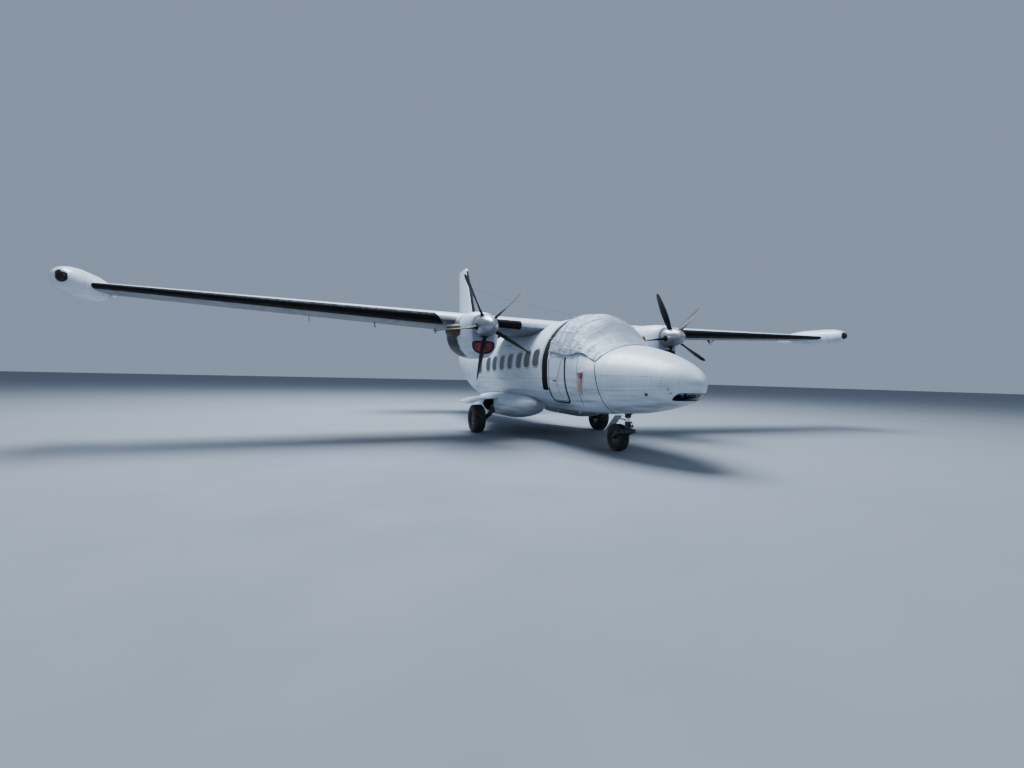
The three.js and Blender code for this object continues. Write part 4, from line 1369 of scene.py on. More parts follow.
HULL = OvalBody(
    rows=(
        (0.100, 0, 0.000, 1.400, 1.400, 1.400, 2.10, 2.35),
        (0.165, 0, 0.150, 1.255, 1.400, 1.520, 2.05, 2.35),
        (0.310, 0, 0.325, 1.145, 1.400, 1.640, 2.00, 2.35),
        (0.550, 0, 0.510, 1.045, 1.400, 1.765, 1.98, 2.35),
        (0.900, 0, 0.685, 0.955, 1.420, 1.899, 1.98, 2.35),
        (1.275, 0, 0.825, 0.875, 1.460, 2.008, 1.94, 2.35),
        (1.650, 0, 0.925, 0.810, 1.510, 2.088, 1.87, 2.40),
        (2.000, 0, 0.990, 0.775, 1.560, 2.151, 1.73, 2.60),
        (2.350, 0, 1.015, 0.745, 1.620, 2.371, 1.71, 2.80),
        (2.700, 0, 1.030, 0.730, 1.680, 2.688, 1.83, 3.00),
        (3.050, 0, 1.038, 0.730, 1.720, 2.800, 1.88, 3.20),
        (3.500, 0, 1.040, 0.730, 1.750, 2.850, 1.88, 3.20),
        (8.600, 0, 1.040, 0.730, 1.750, 2.850, 1.88, 3.20),
        (9.600, 0, 1.010, 0.840, 1.800, 2.846, 1.90, 2.90),
        (10.90, 0, 0.870, 1.150, 1.900, 2.832, 2.00, 2.35),
        (12.10, 0, 0.640, 1.580, 2.080, 2.800, 2.20, 2.35),
        (13.30, 0, 0.350, 2.010, 2.330, 2.750, 2.35, 2.35),
        (14.10, 0, 0.130, 2.270, 2.480, 2.700, 2.35, 2.35),
    ),
    blunt=True,
)


def ribbon(path: Sequence[Pair], sign: int, width: float, low: float = -0.004,
           high: float = 0.0012) -> Shaper:
    """Lays a band of a width along a path on the hull.

    Args:
        path: Stations and heights on one side, in order.
        sign: That side's sign of X.
        width: The band's width.
        low: The height of its underside above the skin.
        high: The height of its outer face.

    Returns:
        The closed mesh.
    """
    turns = [HULL.turn(station, height, sign) for station, height in path]
    spots = [HULL.around(station, turn) for (station, _), turn in zip(path, turns)]
    lengths = [0.0]
    for near, far in zip(spots, spots[1:]):
        lengths.append(lengths[-1] + (far - near).length)
    stations, angles = Track(lengths, [station for station, _ in path]), Track(lengths, turns)

    def lay(along: float, across: float, height: float) -> Vector:
        """Where a length along the band, a distance across it and a height lie.

        Args:
            along: The length along the band.
            across: The distance across it.
            height: The height above the skin.

        Returns:
            The point.
        """
        here, ahead, behind = (
            HULL.around(stations.at(along + step), angles.at(along + step)) for step in (0, 0.004, -0.004))
        out = HULL.normal(here)
        return here + out.cross(ahead - behind).normalized() * across + out * height

    return Plate((0, -width / 2), (lengths[-1], width / 2)).laid(lay, low, high, (0.03, width))


def studs(path: Sequence[Pair], sign: int, pitch: float, radius: float = 0.005) -> Shaper:
    """Round heads at even distances along a path of stations and heights on the hull.

    Args:
        path: The stations and heights, in order.
        sign: The side's sign of X.
        pitch: The distance from head to head.
        radius: A head's radius.

    Returns:
        The closed meshes as one.
    """
    whole = Shaper()
    for near, far in zip(path, path[1:]):
        ends = [HULL.side(station, height, sign) for station, height in (near, far)]
        count = max(round((ends[1] - ends[0]).length / pitch), 1)
        for k in range(count):
            share = k / count
            seat = HULL.side(lerp(near[0], far[0], share), lerp(near[1], far[1], share), sign)
            profile = [(-0.002, 0.0), (-0.002, radius), (0.0008, radius), (0.0018, 0.0)]
            whole.add(Shaper.spun(profile, seat, HULL.normal(seat), 10))
    return whole


WING_CHORDS = (2.534, 1.100)
WING_TIP = 9.740
WING_QUARTER = 5.333
WING_LEAD_HEIGHT = 2.660
WING_TIP_HEIGHT = WING_LEAD_HEIGHT + WING_TIP * tan(radians(1.75))
WING = Foil(
    root=(at(0, WING_QUARTER - WING_CHORDS[0] / 4, WING_LEAD_HEIGHT), WING_CHORDS[0],
          0.18 * WING_CHORDS[0]),
    tip=(at(WING_TIP, WING_QUARTER - WING_CHORDS[1] / 4, WING_TIP_HEIGHT), WING_CHORDS[1],
         0.12 * WING_CHORDS[1]),
    incidence=2.0,
    camber=0.022,
)


HULL_POINTS = 96
DOOR_CUTS = (0.07, 0.05)
HANDLE_CUTS = (0.03, 0.02)
WINDOW_CUTS = (0.05, 0.04)
LAMP_CUTS = (0.03, 0.03)


@dataclass
class Fuselage:
    """The hull with its doors, windows, seams and aerials.

    Attributes:
        joint: Station of the joint between the nose cone and the cabin.
        cabin_end: Station where the cabin ends.
        door_gap: The gap round a door.
        door_thickness: The thickness of a door.
        recess: The depth of a doorway's recess.
        windows: Stations of the cabin windows.
        window_size: Half width and half height of a window.
        lamp: The nose lamps' opening, its lowest distance across and height, then its highest.
        window_fall: The height of the windows' middles along the cabin.
    """

    joint: float = 1.650
    cabin_end: float = 9.600
    door_gap: float = 0.010
    door_thickness: float = 0.040
    recess: float = 0.050
    windows: tuple[float, ...] = (4.235, 4.735, 5.235, 5.82, 6.40, 6.99, 7.51)
    window_size: Pair = (0.186, 0.216)
    lamp: tuple[Pair, Pair] = ((-0.295, 1.118), (0.295, 1.245))
    window_fall: Track = field(default_factory=lambda: Track((4.2, 8.3), (1.895, 1.775)))

    def doors(self) -> dict[str, tuple[Side, float, float, float, float]]:
        """Each door's side, stations and heights.

        Returns:
            For each door's name, its side, first and last station, lowest and highest point.
        """
        return {
            "crew_door": (Side.STARBOARD, 2.850, 3.510, 0.985, 1.885),
            "passenger_door": (Side.PORT, 8.690, 9.450, 1.000, 2.460),
            "cargo_door": (Side.PORT, 8.186, 8.676, 1.000, 2.460),
        }

    def doorway(self, side: Side, first: float, last: float, low: float, high: float) -> Shaper:
        """The space that a doorway cuts out of the hull."""
        plate = Plate((first, low), (last, high), 0.135, grow=self.door_gap)
        return plate.laid(HULL.along_x(side), -self.recess, 0.15, (0.08, 0.06))

    def build_skins(self) -> None:
        """The nose cone, the cabin and the tail cone."""
        far = sqrt(self.joint - NOSE_STATION)
        nose = [NOSE_STATION + (far * k / 34) ** 2 for k in range(35)]
        nose[-1] = self.joint - 0.003
        lamp = Plate(*self.lamp, 0.060)
        show("nose_skin", HULL.skin(nose, HULL_POINTS), NOSE_PAINT, Slot.WHITE, "nose_cone",
             cutters=[lamp.laid(HULL.on_nose(), -0.09, 0.05, LAMP_CUTS)], lining=LAMP_LINING)
        doors = self.doors()
        ways = [self.doorway(*doors["crew_door"]),
                self.doorway(Side.PORT, doors["cargo_door"][1], *doors["passenger_door"][2:])]
        cabin = steps_between(self.joint + 0.003, 3.5, 22) + steps_between(3.6, self.cabin_end, 50)
        well = Plate((1.69, -0.19), (2.64, 0.19), 0.03)
        ways.append(well.laid(lambda s, x, h: at(x, s, h), 0.60, 1.12, (0.2, 0.1)))
        show("cabin_skin", HULL.skin(cabin, HULL_POINTS), HULL_PAINT, Slot.WHITE, "fuselage", cutters=ways)
        tail = steps_between(self.cabin_end, 14.1, 40)
        show("tail_skin", HULL.skin(tail, HULL_POINTS), HULL_PAINT, Slot.WHITE, "rear_fuselage")

    def build_doors(self) -> None:
        """The door panels with their seals and handles, and the black band of painted shadow round the crew
        door's gap, widest along its forward and bottom edges.
        """
        for name, (side, first, last, low, high) in self.doors().items():
            lay, out = HULL.along_x(side), HULL.on_side(side)
            panel = Plate((first, low), (last, high), 0.13).laid(lay, -self.door_thickness, 0.0, DOOR_CUTS)
            show(f"{name}_panel", panel, HULL_PAINT, Slot.WHITE, name, name)
            grow = self.door_gap - 0.001
            seal = Plate((first, low), (last, high), 0.139, grow=grow).bordered(grow - 0.002)
            show(f"{name}_seal", seal.laid(lay, -0.030, -0.004, DOOR_CUTS), SEAL_RUBBER)
            middle = lerp(low, high, 0.45)
            start = lerp(first, last, 0.48 if side is Side.STARBOARD else 0.09)
            plate = Plate((start, middle - 0.03), (start + 0.16, middle + 0.03), 0.028)
            show(f"{name}_handle_plate", plate.laid(out, -0.002, 0.003, HANDLE_CUTS), BARE_METAL,
                 Slot.WHITE, body=name)
            grip = Plate((start + 0.02, middle - 0.010), (start + 0.14, middle + 0.010), 0.009)
            show(f"{name}_handle", grip.laid(out, 0.002, 0.011, HANDLE_CUTS), SEAL_RUBBER, body=name)
        # Painted shadow: a black band on the hull along the crew door's gap, wide at its forward and bottom
        # edges and narrow up its aft edge.
        edge = ((2.822, 1.87), (2.812, 1.60), (2.795, 1.30), (2.785, 1.12), (2.82, 0.995), (2.93, 0.945),
                (3.15, 0.940), (3.40, 0.942), (3.52, 0.975), (3.552, 1.08), (3.556, 1.25))
        back = ((3.553, 1.26), (3.545, 1.55), (3.545, 1.86))
        gap_shadows = [ribbon(edge, Side.STARBOARD, 0.056, -0.004, 0.0016), ribbon(back, Side.STARBOARD, 0.018)]
        show("crew_door_gap_shadow", gap_shadows, SEAL_RUBBER)

    def build_windows(self) -> None:
        """The cabin windows on both sides."""
        half, tall = self.window_size
        places = [(side, station, half, tall) for side in Side for station in self.windows]
        places.append((Side.STARBOARD, 8.28, half * 1.1, tall * 1.1))
        layers: list[list[Shaper]] = [[], [], []]
        for side, station, wide, high in places:
            for layer, (grow, border, top) in zip(layers, (
                    (0.008, 0.008, 0.0012), (0.0, 0.024, 0.005), (-0.022, 0.0, 0.0015))):
                plate = self.window(station, wide + grow, high + grow)
                if border:
                    plate = plate.bordered(border)
                layer.append(plate.laid(HULL.on_side(side), -0.003, top, WINDOW_CUTS))
        for name, layer, finish in zip(("outlines", "frames", "panes"), layers,
                                       (SEAL_RUBBER, WINDOW_FRAME, WINDOW_GLASS)):
            show(f"window_{name}", layer, finish)

    def window(self, station: float, wide: float, high: float) -> Plate:
        """The round-cornered outline of a window at a station."""
        middle = self.window_fall.at(station)
        return Plate((station - wide, middle - high), (station + wide, middle + high), wide * 0.68)

    def build_seams(self) -> None:
        """The nose joint's curved seam, the seam behind it and the nose's rows of screws."""
        joint = ((1.93, 1.86), (1.895, 1.765), (1.824, 1.646), (1.766, 1.484), (1.734, 1.30),
                 (1.732, 1.142), (1.776, 0.977), (1.851, 0.865), (1.94, 0.805))
        second = ((2.44, 1.90), (2.36, 1.70), (2.335, 1.52), (2.33, 1.30), (2.345, 1.09), (2.416, 0.93))
        hinge = ((1.62, 1.508), (1.20, 1.512), (0.62, 1.505))
        panel = ((0.505, 1.50), (0.505, 1.29), (0.96, 1.262), (1.60, 1.235))
        lines = [ribbon(path, side, width) for side in Side for path, width in (
            (joint, 0.020), (second, 0.014))]
        heads = [studs(path, side, 0.052, 0.008) for side in Side for path in (hinge, panel)]
        show("hull_seams", lines, SEAL_RUBBER)
        show("nose_screws", heads, DARK_METAL)

    def build_ports(self) -> None:
        """The round ports on the nose and the small vent on each side of the cabin."""
        spots = ((0.759, 1.203, 0.030), (0.412, 1.305, 0.012), (0.398, 1.240, 0.012))
        ports = []
        for side in Side:
            for station, height, radius in spots:
                seat = HULL.side(station, height, side)
                profile = [(-0.004, 0.0), (-0.004, radius), (0.003, radius), (0.003, radius * 0.8),
                           (0.0014, radius * 0.7), (0.0014, 0.0)]
                ports.append(Shaper.spun(profile, seat, HULL.normal(seat), 28))
            vent = Plate((6.84, 1.000), (7.00, 1.030), 0.012)
            ports.append(vent.laid(HULL.on_side(side), -0.003, 0.002, (0.04, 0.02)))
        show("hull_ports", ports, SEAL_RUBBER)

    def build_exits(self) -> None:
        """The outlines of the emergency exits and the hatches."""
        lines = []
        hatches = ((6.04, 6.70, 1.38, 2.30, 0.12), (7.05, 7.36, 1.12, 1.38, 0.04))
        for first, last, low, high, corner in hatches:
            for side in Side:
                border = Plate((first, low), (last, high), corner).bordered(0.006)
                lines.append(border.laid(HULL.on_side(side), -0.002, 0.0008, (0.06, 0.05)))
        show("hatch_lines", lines, SEAL_RUBBER)

    def build_guards(self) -> None:
        """The black ice guard round the hull in line with the propellers."""
        low = HULL.turn(3.75, 1.18, Side.PORT)
        guard = Plate((3.60, low), (3.865, pi - low), 0.02)
        show("ice_guard", guard.laid(HULL.round_about(), -0.002, 0.003, (0.06, 0.05)), BOOT_RUBBER)

    def build_lamps(self) -> None:
        """The nose lamps behind their pane."""
        nose = HULL.on_nose()
        pane = Plate(*self.lamp, 0.058, grow=-0.002).laid(nose, -0.012, 0.0, LAMP_CUTS)
        show("nose_lamp_cover", pane, LAMP_COVER, Slot.LAMP, "nose_lamp_pane")
        rim = Plate(*self.lamp, 0.063, grow=0.005).bordered(0.014)
        show("nose_lamp_rim", rim.laid(nose, -0.004, 0.0012, LAMP_CUTS), SEAL_RUBBER)
        profile = [(0.0, 0.0), (0.0, 0.030), (0.022, 0.046), (0.022, 0.041), (0.006, 0.022), (0.002, 0.0)]
        bowls = [Shaper.spun(profile, HULL.above(HULL.front(across, 1.187), -0.055), -AFTWARD, 32)
                 for across in steps_between(-0.225, 0.225, 4)]
        show("nose_lamp_bowls", bowls, LAMP_SILVER, Slot.LAMP)

    def build_wire(self) -> None:
        """The aerial mast and its wire to the fin."""
        foot, head = HULL.roof(4.36, 0.0), at(0, 4.292, 2.933)
        mast = Shaper.tube([foot - UP * 0.01, foot.lerp(head, 0.5), head], [0.012, 0.009, 0.006], 16, 0.6)
        socket = [(-0.01, 0.0), (-0.01, 0.03), (0.004, 0.03), (0.010, 0.014), (0.010, 0.0)]
        show("aerial_mast", [mast, Shaper.spun(socket, foot, UP, 24)], AERIAL_WHITE)
        last = at(0, 12.87, 4.96)
        wire = [head.lerp(last, share) - UP * 0.05 * sin(pi * share) for share in steps_between(0, 1, 24)]
        show("aerial_wire", Shaper.tube(wire, [0.0034] * len(wire), 8), SEAL_RUBBER)

    def build_roof_fittings(self) -> None:
        """The beacons and the blade aerials."""
        for name, seat, way in (("roof_beacon", HULL.roof(8.1, 0.0), UP),
                                ("belly_beacon", HULL.roof(7.9, 0.0, -1), -UP)):
            show(f"{name}_base", Shaper.drum(-0.01, 0.012, 0.060, seat, way), BARE_METAL)
            show(f"{name}_lens", Shaper.dome(0.012, 0.062, 0.050, seat, way), RED_LAMP)
        blades = []
        for station, way, tall in ((7.8, 1, 0.20), (3.9, -1, 0.12), (5.0, -1, 0.15)):
            seat = HULL.roof(station, 0.0, way)
            rings = []
            for share in steps_between(0.0, 1.0, 6):
                long, thick = lerp(0.075, 0.040, share), lerp(0.011, 0.006, share)
                rings.append([seat + Vector((thick * sin(a), long * cos(a) + 0.05 * share,
                                             way * (tall * share - 0.02))) for a in circle(20)])
            blades.append(Shaper.lofted(rings))
        show("blade_aerials", blades, AERIAL_WHITE)

    def build(self) -> None:
        """Builds the hull and everything on it."""
        for step in (self.build_skins, self.build_doors, self.build_windows, self.build_exits,
                     self.build_seams, self.build_ports, self.build_guards, self.build_lamps,
                     self.build_wire, self.build_roof_fittings):
            step()


def ridge(narrow: float, place: Vector) -> float:
    """A random ridge line from 0 to 1, narrower with a larger number."""
    return max(0.0, 1 - narrow * abs(noise.noise(place)))


@dataclass
class CockpitCover:
    """The fitted cloth cover over the cockpit roof and the windscreen.

    Attributes:
        front: Station of its front edge, from the middle of the nose to the hem.
        back: Station of its aft edge, from the middle of the roof to the hem.
        hem: The height of the hem at each station.
        columns: Faces round the hull.
        rows: Faces along it.
        stand: How far the cloth stands off the hull at least.
        flat: The width and length that it was cut to; not used.
        creases: The heights of its slow swell, long folds, cross folds, rucks and fine creases.
        hem_folds: The heights of the hem's gathers and tucks.
    """

    front: Track = field(default_factory=lambda: Track((0.0, 0.5, 1.0), (1.79, 1.84, 1.895)))
    back: Track = field(default_factory=lambda: Track((0.0, 0.35, 0.70, 1.0), (3.625, 3.62, 3.60, 3.565)))
    hem: Track = field(default_factory=lambda: Track(
        (1.79, 1.895, 2.07, 2.30, 2.47, 2.61, 2.83, 3.10, 3.40, 3.57),
        (1.775, 1.775, 1.817, 1.907, 1.936, 1.908, 1.915, 1.955, 1.995, 1.965)))
    columns: int = 244
    rows: int = 190
    stand: float = 0.007
    flat: Pair = (2.95, 2.15)
    creases: tuple[float, ...] = (0.018, 0.024, 0.008, 0.006, 0.0022)
    hem_folds: Pair = (0.006, 0.010)

    def fullness(self, station: float, angle: float, side: float) -> float:
        """How far the cloth stands off the hull, with its creases and folds.

        Args:
            station: The place along the hull.
            angle: The angle round it.
            side: 0 on the middle line and 1 at the hem.

        Returns:
            The height above the skin.
        """
        point = HULL.around(station, angle)
        glass = ease(station, 1.95, 2.10) * (1 - ease(station, 2.60, 2.80)) * (1 - ease(side, 0.62, 0.86))
        edge = self.front.at(side)
        loose = (1 - 0.88 * glass) * (0.15 + 0.85 * ease(station, edge, edge + 0.14))
        leaning = Vector((point.x + 0.5 * point.y, point.y - 0.4 * point.z, point.z))
        slow = 0.5 + 0.5 * noise.noise(point * 1.7 + Vector((3, 1, 7)))
        folds = ridge(2.6, Vector((leaning.x * 1.3, leaning.y * 4.6, point.z * 0.9)))
        cross = ridge(2.8, Vector((point.x * 4.2, leaning.y * 1.2, point.z * 4.4)))
        rucks = ridge(3.0, leaning * 5.0 + Vector((4, 9, 2)))
        fine = ridge(2.4, point * 11.0 + Vector((8, 5, 1)))
        low = ease(side, 0.70, 1.0)
        gathers = low * (0.5 + 0.5 * sin(station * 33 + 3.5 * noise.noise(point * 1.7)))
        tucks = low * ridge(2.4, Vector((station * 4.5, 2.0, side * 1.2)))
        shapes = (slow, folds**3, cross**3, rucks**3, fine**2)
        lift = sum(height * shape for height, shape in zip(self.creases, shapes))
        gather, tuck = self.hem_folds
        return self.stand + loose * lift + gather * gathers * (1 - glass) + tuck * tucks

    def spot(self, u: float, v: float, lift: float = 0.0) -> Vector:
        """A point of the cloth.

        Args:
            u: The share of the way from the starboard hem over the roof to the port one.
            v: The share of the way from the front edge to the aft one.
            lift: How far the point stands off the cloth.

        Returns:
            The point.
        """
        side = abs(2 * u - 1)
        station = lerp(self.front.at(side), self.back.at(side), v)
        low = HULL.turn(station, self.hem.at(station), Side.PORT)
        angle = lerp(pi - low, low, u)
        point = HULL.around(station, angle)
        return HULL.above(point, self.fullness(station, angle, side) + lift)

    def build_edges(self) -> None:
        """The sewn binding round the cloth's edge, and the seams over the roof."""
        binding = [self.sewn(0.0, 0.0036, 8, u=edge) for edge in (0.0, 1.0)]
        binding += [self.sewn(0.0, 0.0036, 8, v=edge) for edge in (0.0, 1.0)]
        show("cockpit_cover_binding", binding, COVER_BINDING)
        seams = [self.sewn(0.0004, 0.0016, 6, v=edge) for edge in (0.17, 0.42, 0.70)]
        seams += [self.sewn(0.0004, 0.0016, 6, u=edge) for edge in (0.30, 0.50, 0.70)]
        show("cockpit_cover_seams", seams, COVER_BINDING)

    def sewn(self, lift: float, radius: float, sides: int, u: float | None = None,
             v: float = 0.0) -> Shaper:
        """A sewn cord over the cloth, along it at u where that is given, and else across it at v.

        Args:
            lift: How far it stands off the cloth.
            radius: Its radius.
            sides: Faces the way round.
            u: The share of the way over the roof that it runs at.
            v: The share of the way from the front edge to the aft one that it runs at.

        Returns:
            The closed mesh.
        """
        count = 220 if u is None else 160
        places = [(k / count, v) if u is None else (u, k / count) for k in range(count + 1)]
        return Shaper.tube([self.spot(*place, lift) for place in places], [radius] * len(places), sides)

    def build_strap(self) -> None:
        """The webbing strap round the roof behind the cover, and the ties from its aft edge to it."""
        low = HULL.turn(3.9, 1.60, Side.PORT)
        strap = Plate((3.905, low), (3.935, pi - low), 0.004)
        laid = strap.laid(HULL.round_about(), 0.0005, 0.003, (0.02, 0.04))
        show("cockpit_cover_strap", laid, COVER_BINDING)
        ties = []
        for u in (0.12, 0.36, 0.64, 0.88):
            start = self.spot(u, 1.0, 0.002)
            turn = HULL.turn(3.91, min(start.z, 2.83), 1 if start.x > 0 else -1)
            end = HULL.above(HULL.around(3.91, turn), 0.004)
            ties.append(Shaper.tube([start, start.lerp(end, 0.5) + UP * 0.004, end], [0.004] * 3, 8))
        show("cockpit_cover_ties", ties, COVER_BINDING)

    def build_door_ties(self) -> None:
        """The two flat ties that lie over the crew door."""
        runs = (((2.93, 1.86), (3.03, 1.66), (3.17, 1.42)), ((3.17, 1.40), (3.12, 1.20), (3.02, 1.02)))
        ties = [ribbon(run, Side.STARBOARD, 0.014, 0.0003, 0.0035) for run in runs]
        show("crew_door_ties", ties, COVER_BINDING, body="crew_door")

    def build_streamer(self) -> None:
        """The red sleeve on the probe at the side of the nose, with its faded pennant."""
        top, length = 1.575, 0.44

        def lay(across: float, down: float, height: float) -> Vector:
            """Where a distance across the pennant and down it lies.

            Args:
                across: The distance across it.
                down: The distance down it.
                height: The height above the pennant's underside.

            Returns:
                The point.
            """
            narrow = 1 - 0.72 * down / length
            point = HULL.side(2.215 + across * narrow + 0.05 * down, top - down, Side.STARBOARD)
            wave = 0.014 + 0.011 * sin(down * 19 + across * 34) * min(down * 8, 1)
            return HULL.above(point, wave + height)

        pennant = Plate((-0.075, 0.06), (0.075, length), 0.006).laid(lay, 0.0, 0.0012, (0.01, 0.01))
        flag = show("probe_pennant", pennant, FADED_CLOTH, sharp=60.0)
        sleeve = Plate((-0.078, -0.012), (0.078, 0.125), 0.010).laid(lay, -0.010, 0.008, (0.01, 0.01))
        band = Plate((-0.080, -0.016), (0.080, 0.016), 0.004).laid(lay, -0.011, 0.010, (0.01, 0.01))
        pieces = [show("probe_sleeve", sleeve, PLUG_CLOTH, sharp=60.0),
                  show("probe_band", band, AERIAL_WHITE, sharp=60.0)]

    def build(self) -> None:
        """Builds the cover with its binding, strap, ties and streamer."""
        cloth = Shaper.wrapped(self.columns, self.rows, self.spot, closed=False)
        bmesh.ops.recalc_face_normals(cloth.bm, faces=cloth.bm.faces[:])
        cover = show("cockpit_cover_cloth", cloth, COVER_CLOTH, Slot.COVER, "cockpit_cover", sharp=80.0)
        solid = cover.modifiers.new("thickness", "SOLIDIFY")
        solid.thickness = 0.0016
        solid.offset = -1.0
        for step in (self.build_edges, self.build_strap, self.build_door_ties, self.build_streamer):
            step()


def blunt(rows: Sequence[Pair], count: int) -> tuple[Track, list[Pair]]:
    """A round-nosed profile to spin.

    Args:
        rows: Its stations and radii.
        count: How many steps its profile has.

    Returns:
        The radius over the root of the distance behind the tip, and the profile's stations and radii.
    """
    first = rows[0][0]
    track = Track([sqrt(station - first) for station, _ in rows], [radius for _, radius in rows])
    far = sqrt(rows[-1][0] - first)
    return track, [(first + (far * k / count) ** 2, track.at(far * k / count)) for k in range(count + 1)]


@dataclass
class Wing:
    """The wing with its flaps, ailerons, boots and tip tanks.

    Attributes:
        joint: Where the outer wing starts, on the engine's line.
        outer_end: Where the outer wing ends inside the tank.
        flap_hinge: The flaps' hinge as a fraction of the chord.
        flap_drop: How far the flap hinge line is below the wing.
        aileron_hinge: The ailerons' hinge as a fraction of the chord.
        inner_flap: The inner flap's ends.
        outer_flap: The outer flap's ends.
        aileron: The aileron's ends.
        gap: The gap round a moving part.
        end_gap: The gap at a flap's outboard end.
        arms: The distances from the middle of the flaps' arms, two inner and three outer.
    """

    joint: float = ENGINE_SPAN
    outer_end: float = 9.600
    flap_hinge: float = 0.70
    flap_drop: float = 0.200
    aileron_hinge: float = 0.72
    inner_flap: Pair = (1.150, 2.130)
    outer_flap: Pair = (2.690, 6.065)
    aileron: Pair = (6.130, 9.300)
    gap: float = 0.009
    end_gap: float = 0.026
    arms: tuple[float, ...] = (1.300, 1.960, 2.900, 4.400, 5.860)

    def parts(self, first: float, last: float, count: int) -> list[float]:
        """Even parts of the span between two distances from the middle."""
        return [x / WING_TIP for x in steps_between(first, last, count)]

    def flap_cove(self, ends: Pair) -> Shaper:
        """The space behind the wing for a flap."""
        parts = self.parts(ends[0] - self.gap, ends[1] + self.end_gap, 6)
        return WING.cove(parts, self.flap_hinge, self.gap)

    def build_skins(self) -> None:
        """The centre section and both outer wings."""
        halves = [WING.panel(self.parts(0, self.joint - 0.0005, 10)).moved(mirrored(side)) for side in Side]
        coves = [self.flap_cove(self.inner_flap).moved(mirrored(side)) for side in Side]
        centre = Shaper.gathered(halves)
        centre.weld()
        inner = [face for face in centre.bm.faces if all(abs(v.co.x) < 1e-5 for v in face.verts)]
        bmesh.ops.delete(centre.bm, geom=inner, context="FACES_ONLY")
        show("wing_centre_skin", centre, WING_PAINT, Slot.WHITE, "wing_centre", cutters=coves)
        both(self.build_outer)

    def build_outer(self, side: Side) -> None:
        """One outer wing, with the spaces for its flap and its aileron.

        Args:
            side: The side.
        """
        panel = WING.panel(self.parts(self.joint + 0.0005, self.outer_end, 30))
        cove = WING.cove(self.parts(self.aileron[0] - self.gap, self.aileron[1] + self.gap, 6),
                         self.aileron_hinge, self.gap)
        show("wing_outer_skin", panel, WING_PAINT, Slot.WHITE, "wing_outer", side=side,
             cutters=[self.flap_cove(self.outer_flap), cove])

    def build_movers(self, side: Side) -> None:
        """Flaps and aileron of one side.

        Args:
            side: The side.
        """
        for name, ends, hinge, body, arms in (
            ("flap_inner", self.inner_flap, self.flap_hinge, "flaps", self.arms[:2]),
            ("flap_outer", self.outer_flap, self.flap_hinge, "flaps", self.arms[2:]),
            ("aileron", self.aileron, self.aileron_hinge, "aileron", ()),
        ):
            shapes = [WING.mover(self.parts(*ends, 8), hinge), *(self.flap_arm(x) for x in arms)]
            show(f"{name}_skin", shapes, WING_PAINT, Slot.WHITE, name, body, side)

    def hinge(self, x: float, fraction: float, drop: float = 0.0) -> Vector:
        """A point at a fraction of the chord, dropped below the middle line."""
        part = x / WING_TIP
        return WING.point(part, fraction, WING.middle(part, fraction) - drop)

    def eye(self, x: float, first: float) -> tuple[Vector, list[Vector]]:
        """The middle of a hinge eye on the flaps' hinge line, and its rim from an angle in degrees."""
        eye = self.hinge(x, self.flap_hinge, self.flap_drop)
        return eye, [eye + Vector((0, 0.028 * cos(a), 0.028 * sin(a))) for a in arc(first, first + 180, 12)]

    def flap_arm(self, x: float) -> Shaper:
        """The arm that carries a flap on its hinge line below the wing.

        Args:
            x: The distance from the middle.

        Returns:
            The closed mesh.
        """
        eye, rim = self.eye(x, 180)
        back = self.hinge(x, self.flap_hinge + 0.12)
        front = self.hinge(x, self.flap_hinge) + AFTWARD * 0.012
        outline = rim + [back, Vector((x, front.y, back.z)), Vector((x, front.y, eye.z + 0.04))]
        return self.slab(outline, 0.0)

    def slab(self, outline: Sequence[Vector], place: float) -> Shaper:
        """An upright slab of metal with an outline, moved outboard by a distance."""
        sides = [[point + ACROSS * x for point in outline] for x in (place, place + 0.014)]
        return Shaper.lofted(sides).softened(0.002)

    def build_brackets(self, side: Side) -> None:
        """The wing's brackets that reach back to the flaps' hinge line.

        Args:
            side: The side.
        """
        brackets = [self.slab(self.eye(x, -90)[1] + [self.hinge(x, self.flap_hinge - 0.12),
                                                     self.hinge(x, self.flap_hinge - 0.26)], -0.022)
                    for x in self.arms]
        show("flap_brackets", brackets, PLAIN_PAINT, side=side)

    def build_boots(self, side: Side) -> None:
        """The black boots on the leading edge.

        Args:
            side: The side.
        """
        strips = []
        runs = ((1.18, 1.96, 0.0, -0.20, 0.15), (3.02, 9.50, 0.22, -0.34, 0.20))
        for first, last, slant, under, over in runs:
            low, high = first / WING_TIP, last / WING_TIP
            boot = Plate((low, under), (high, over), 0.0, (slant / WING_TIP, 0.0))
            strips.append(boot.laid(WING.above, -0.001, 0.003, (0.02, 0.02)))
        show("wing_boots", strips, BOOT_RUBBER, side=side)

    def build_wicks(self, side: Side) -> None:
        """The static wicks behind the aileron, and the fuel caps.

        Args:
            side: The side.
        """
        wicks = []
        for x in (6.9, 7.9, 8.9):
            tail = WING.skin(x / WING_TIP, 1.0)
            ends = [tail + Vector((0, -0.02, 0)), tail + Vector((0, 0.13, -0.004))]
            wicks.append(Shaper.tube(ends, [0.003, 0.0018], 8))
        show("aileron_wicks", wicks, SEAL_RUBBER, body="aileron", side=side)
        fillers = []
        for x in (3.4, 7.2):
            cap = Plate((x / WING_TIP - 0.006, 0.50), (x / WING_TIP + 0.006, 0.58), 0.004)
            fillers.append(cap.laid(WING.above, -0.001, 0.0016, (0.004, 0.02)))
        show("fuel_caps", fillers, DARK_METAL, side=side)

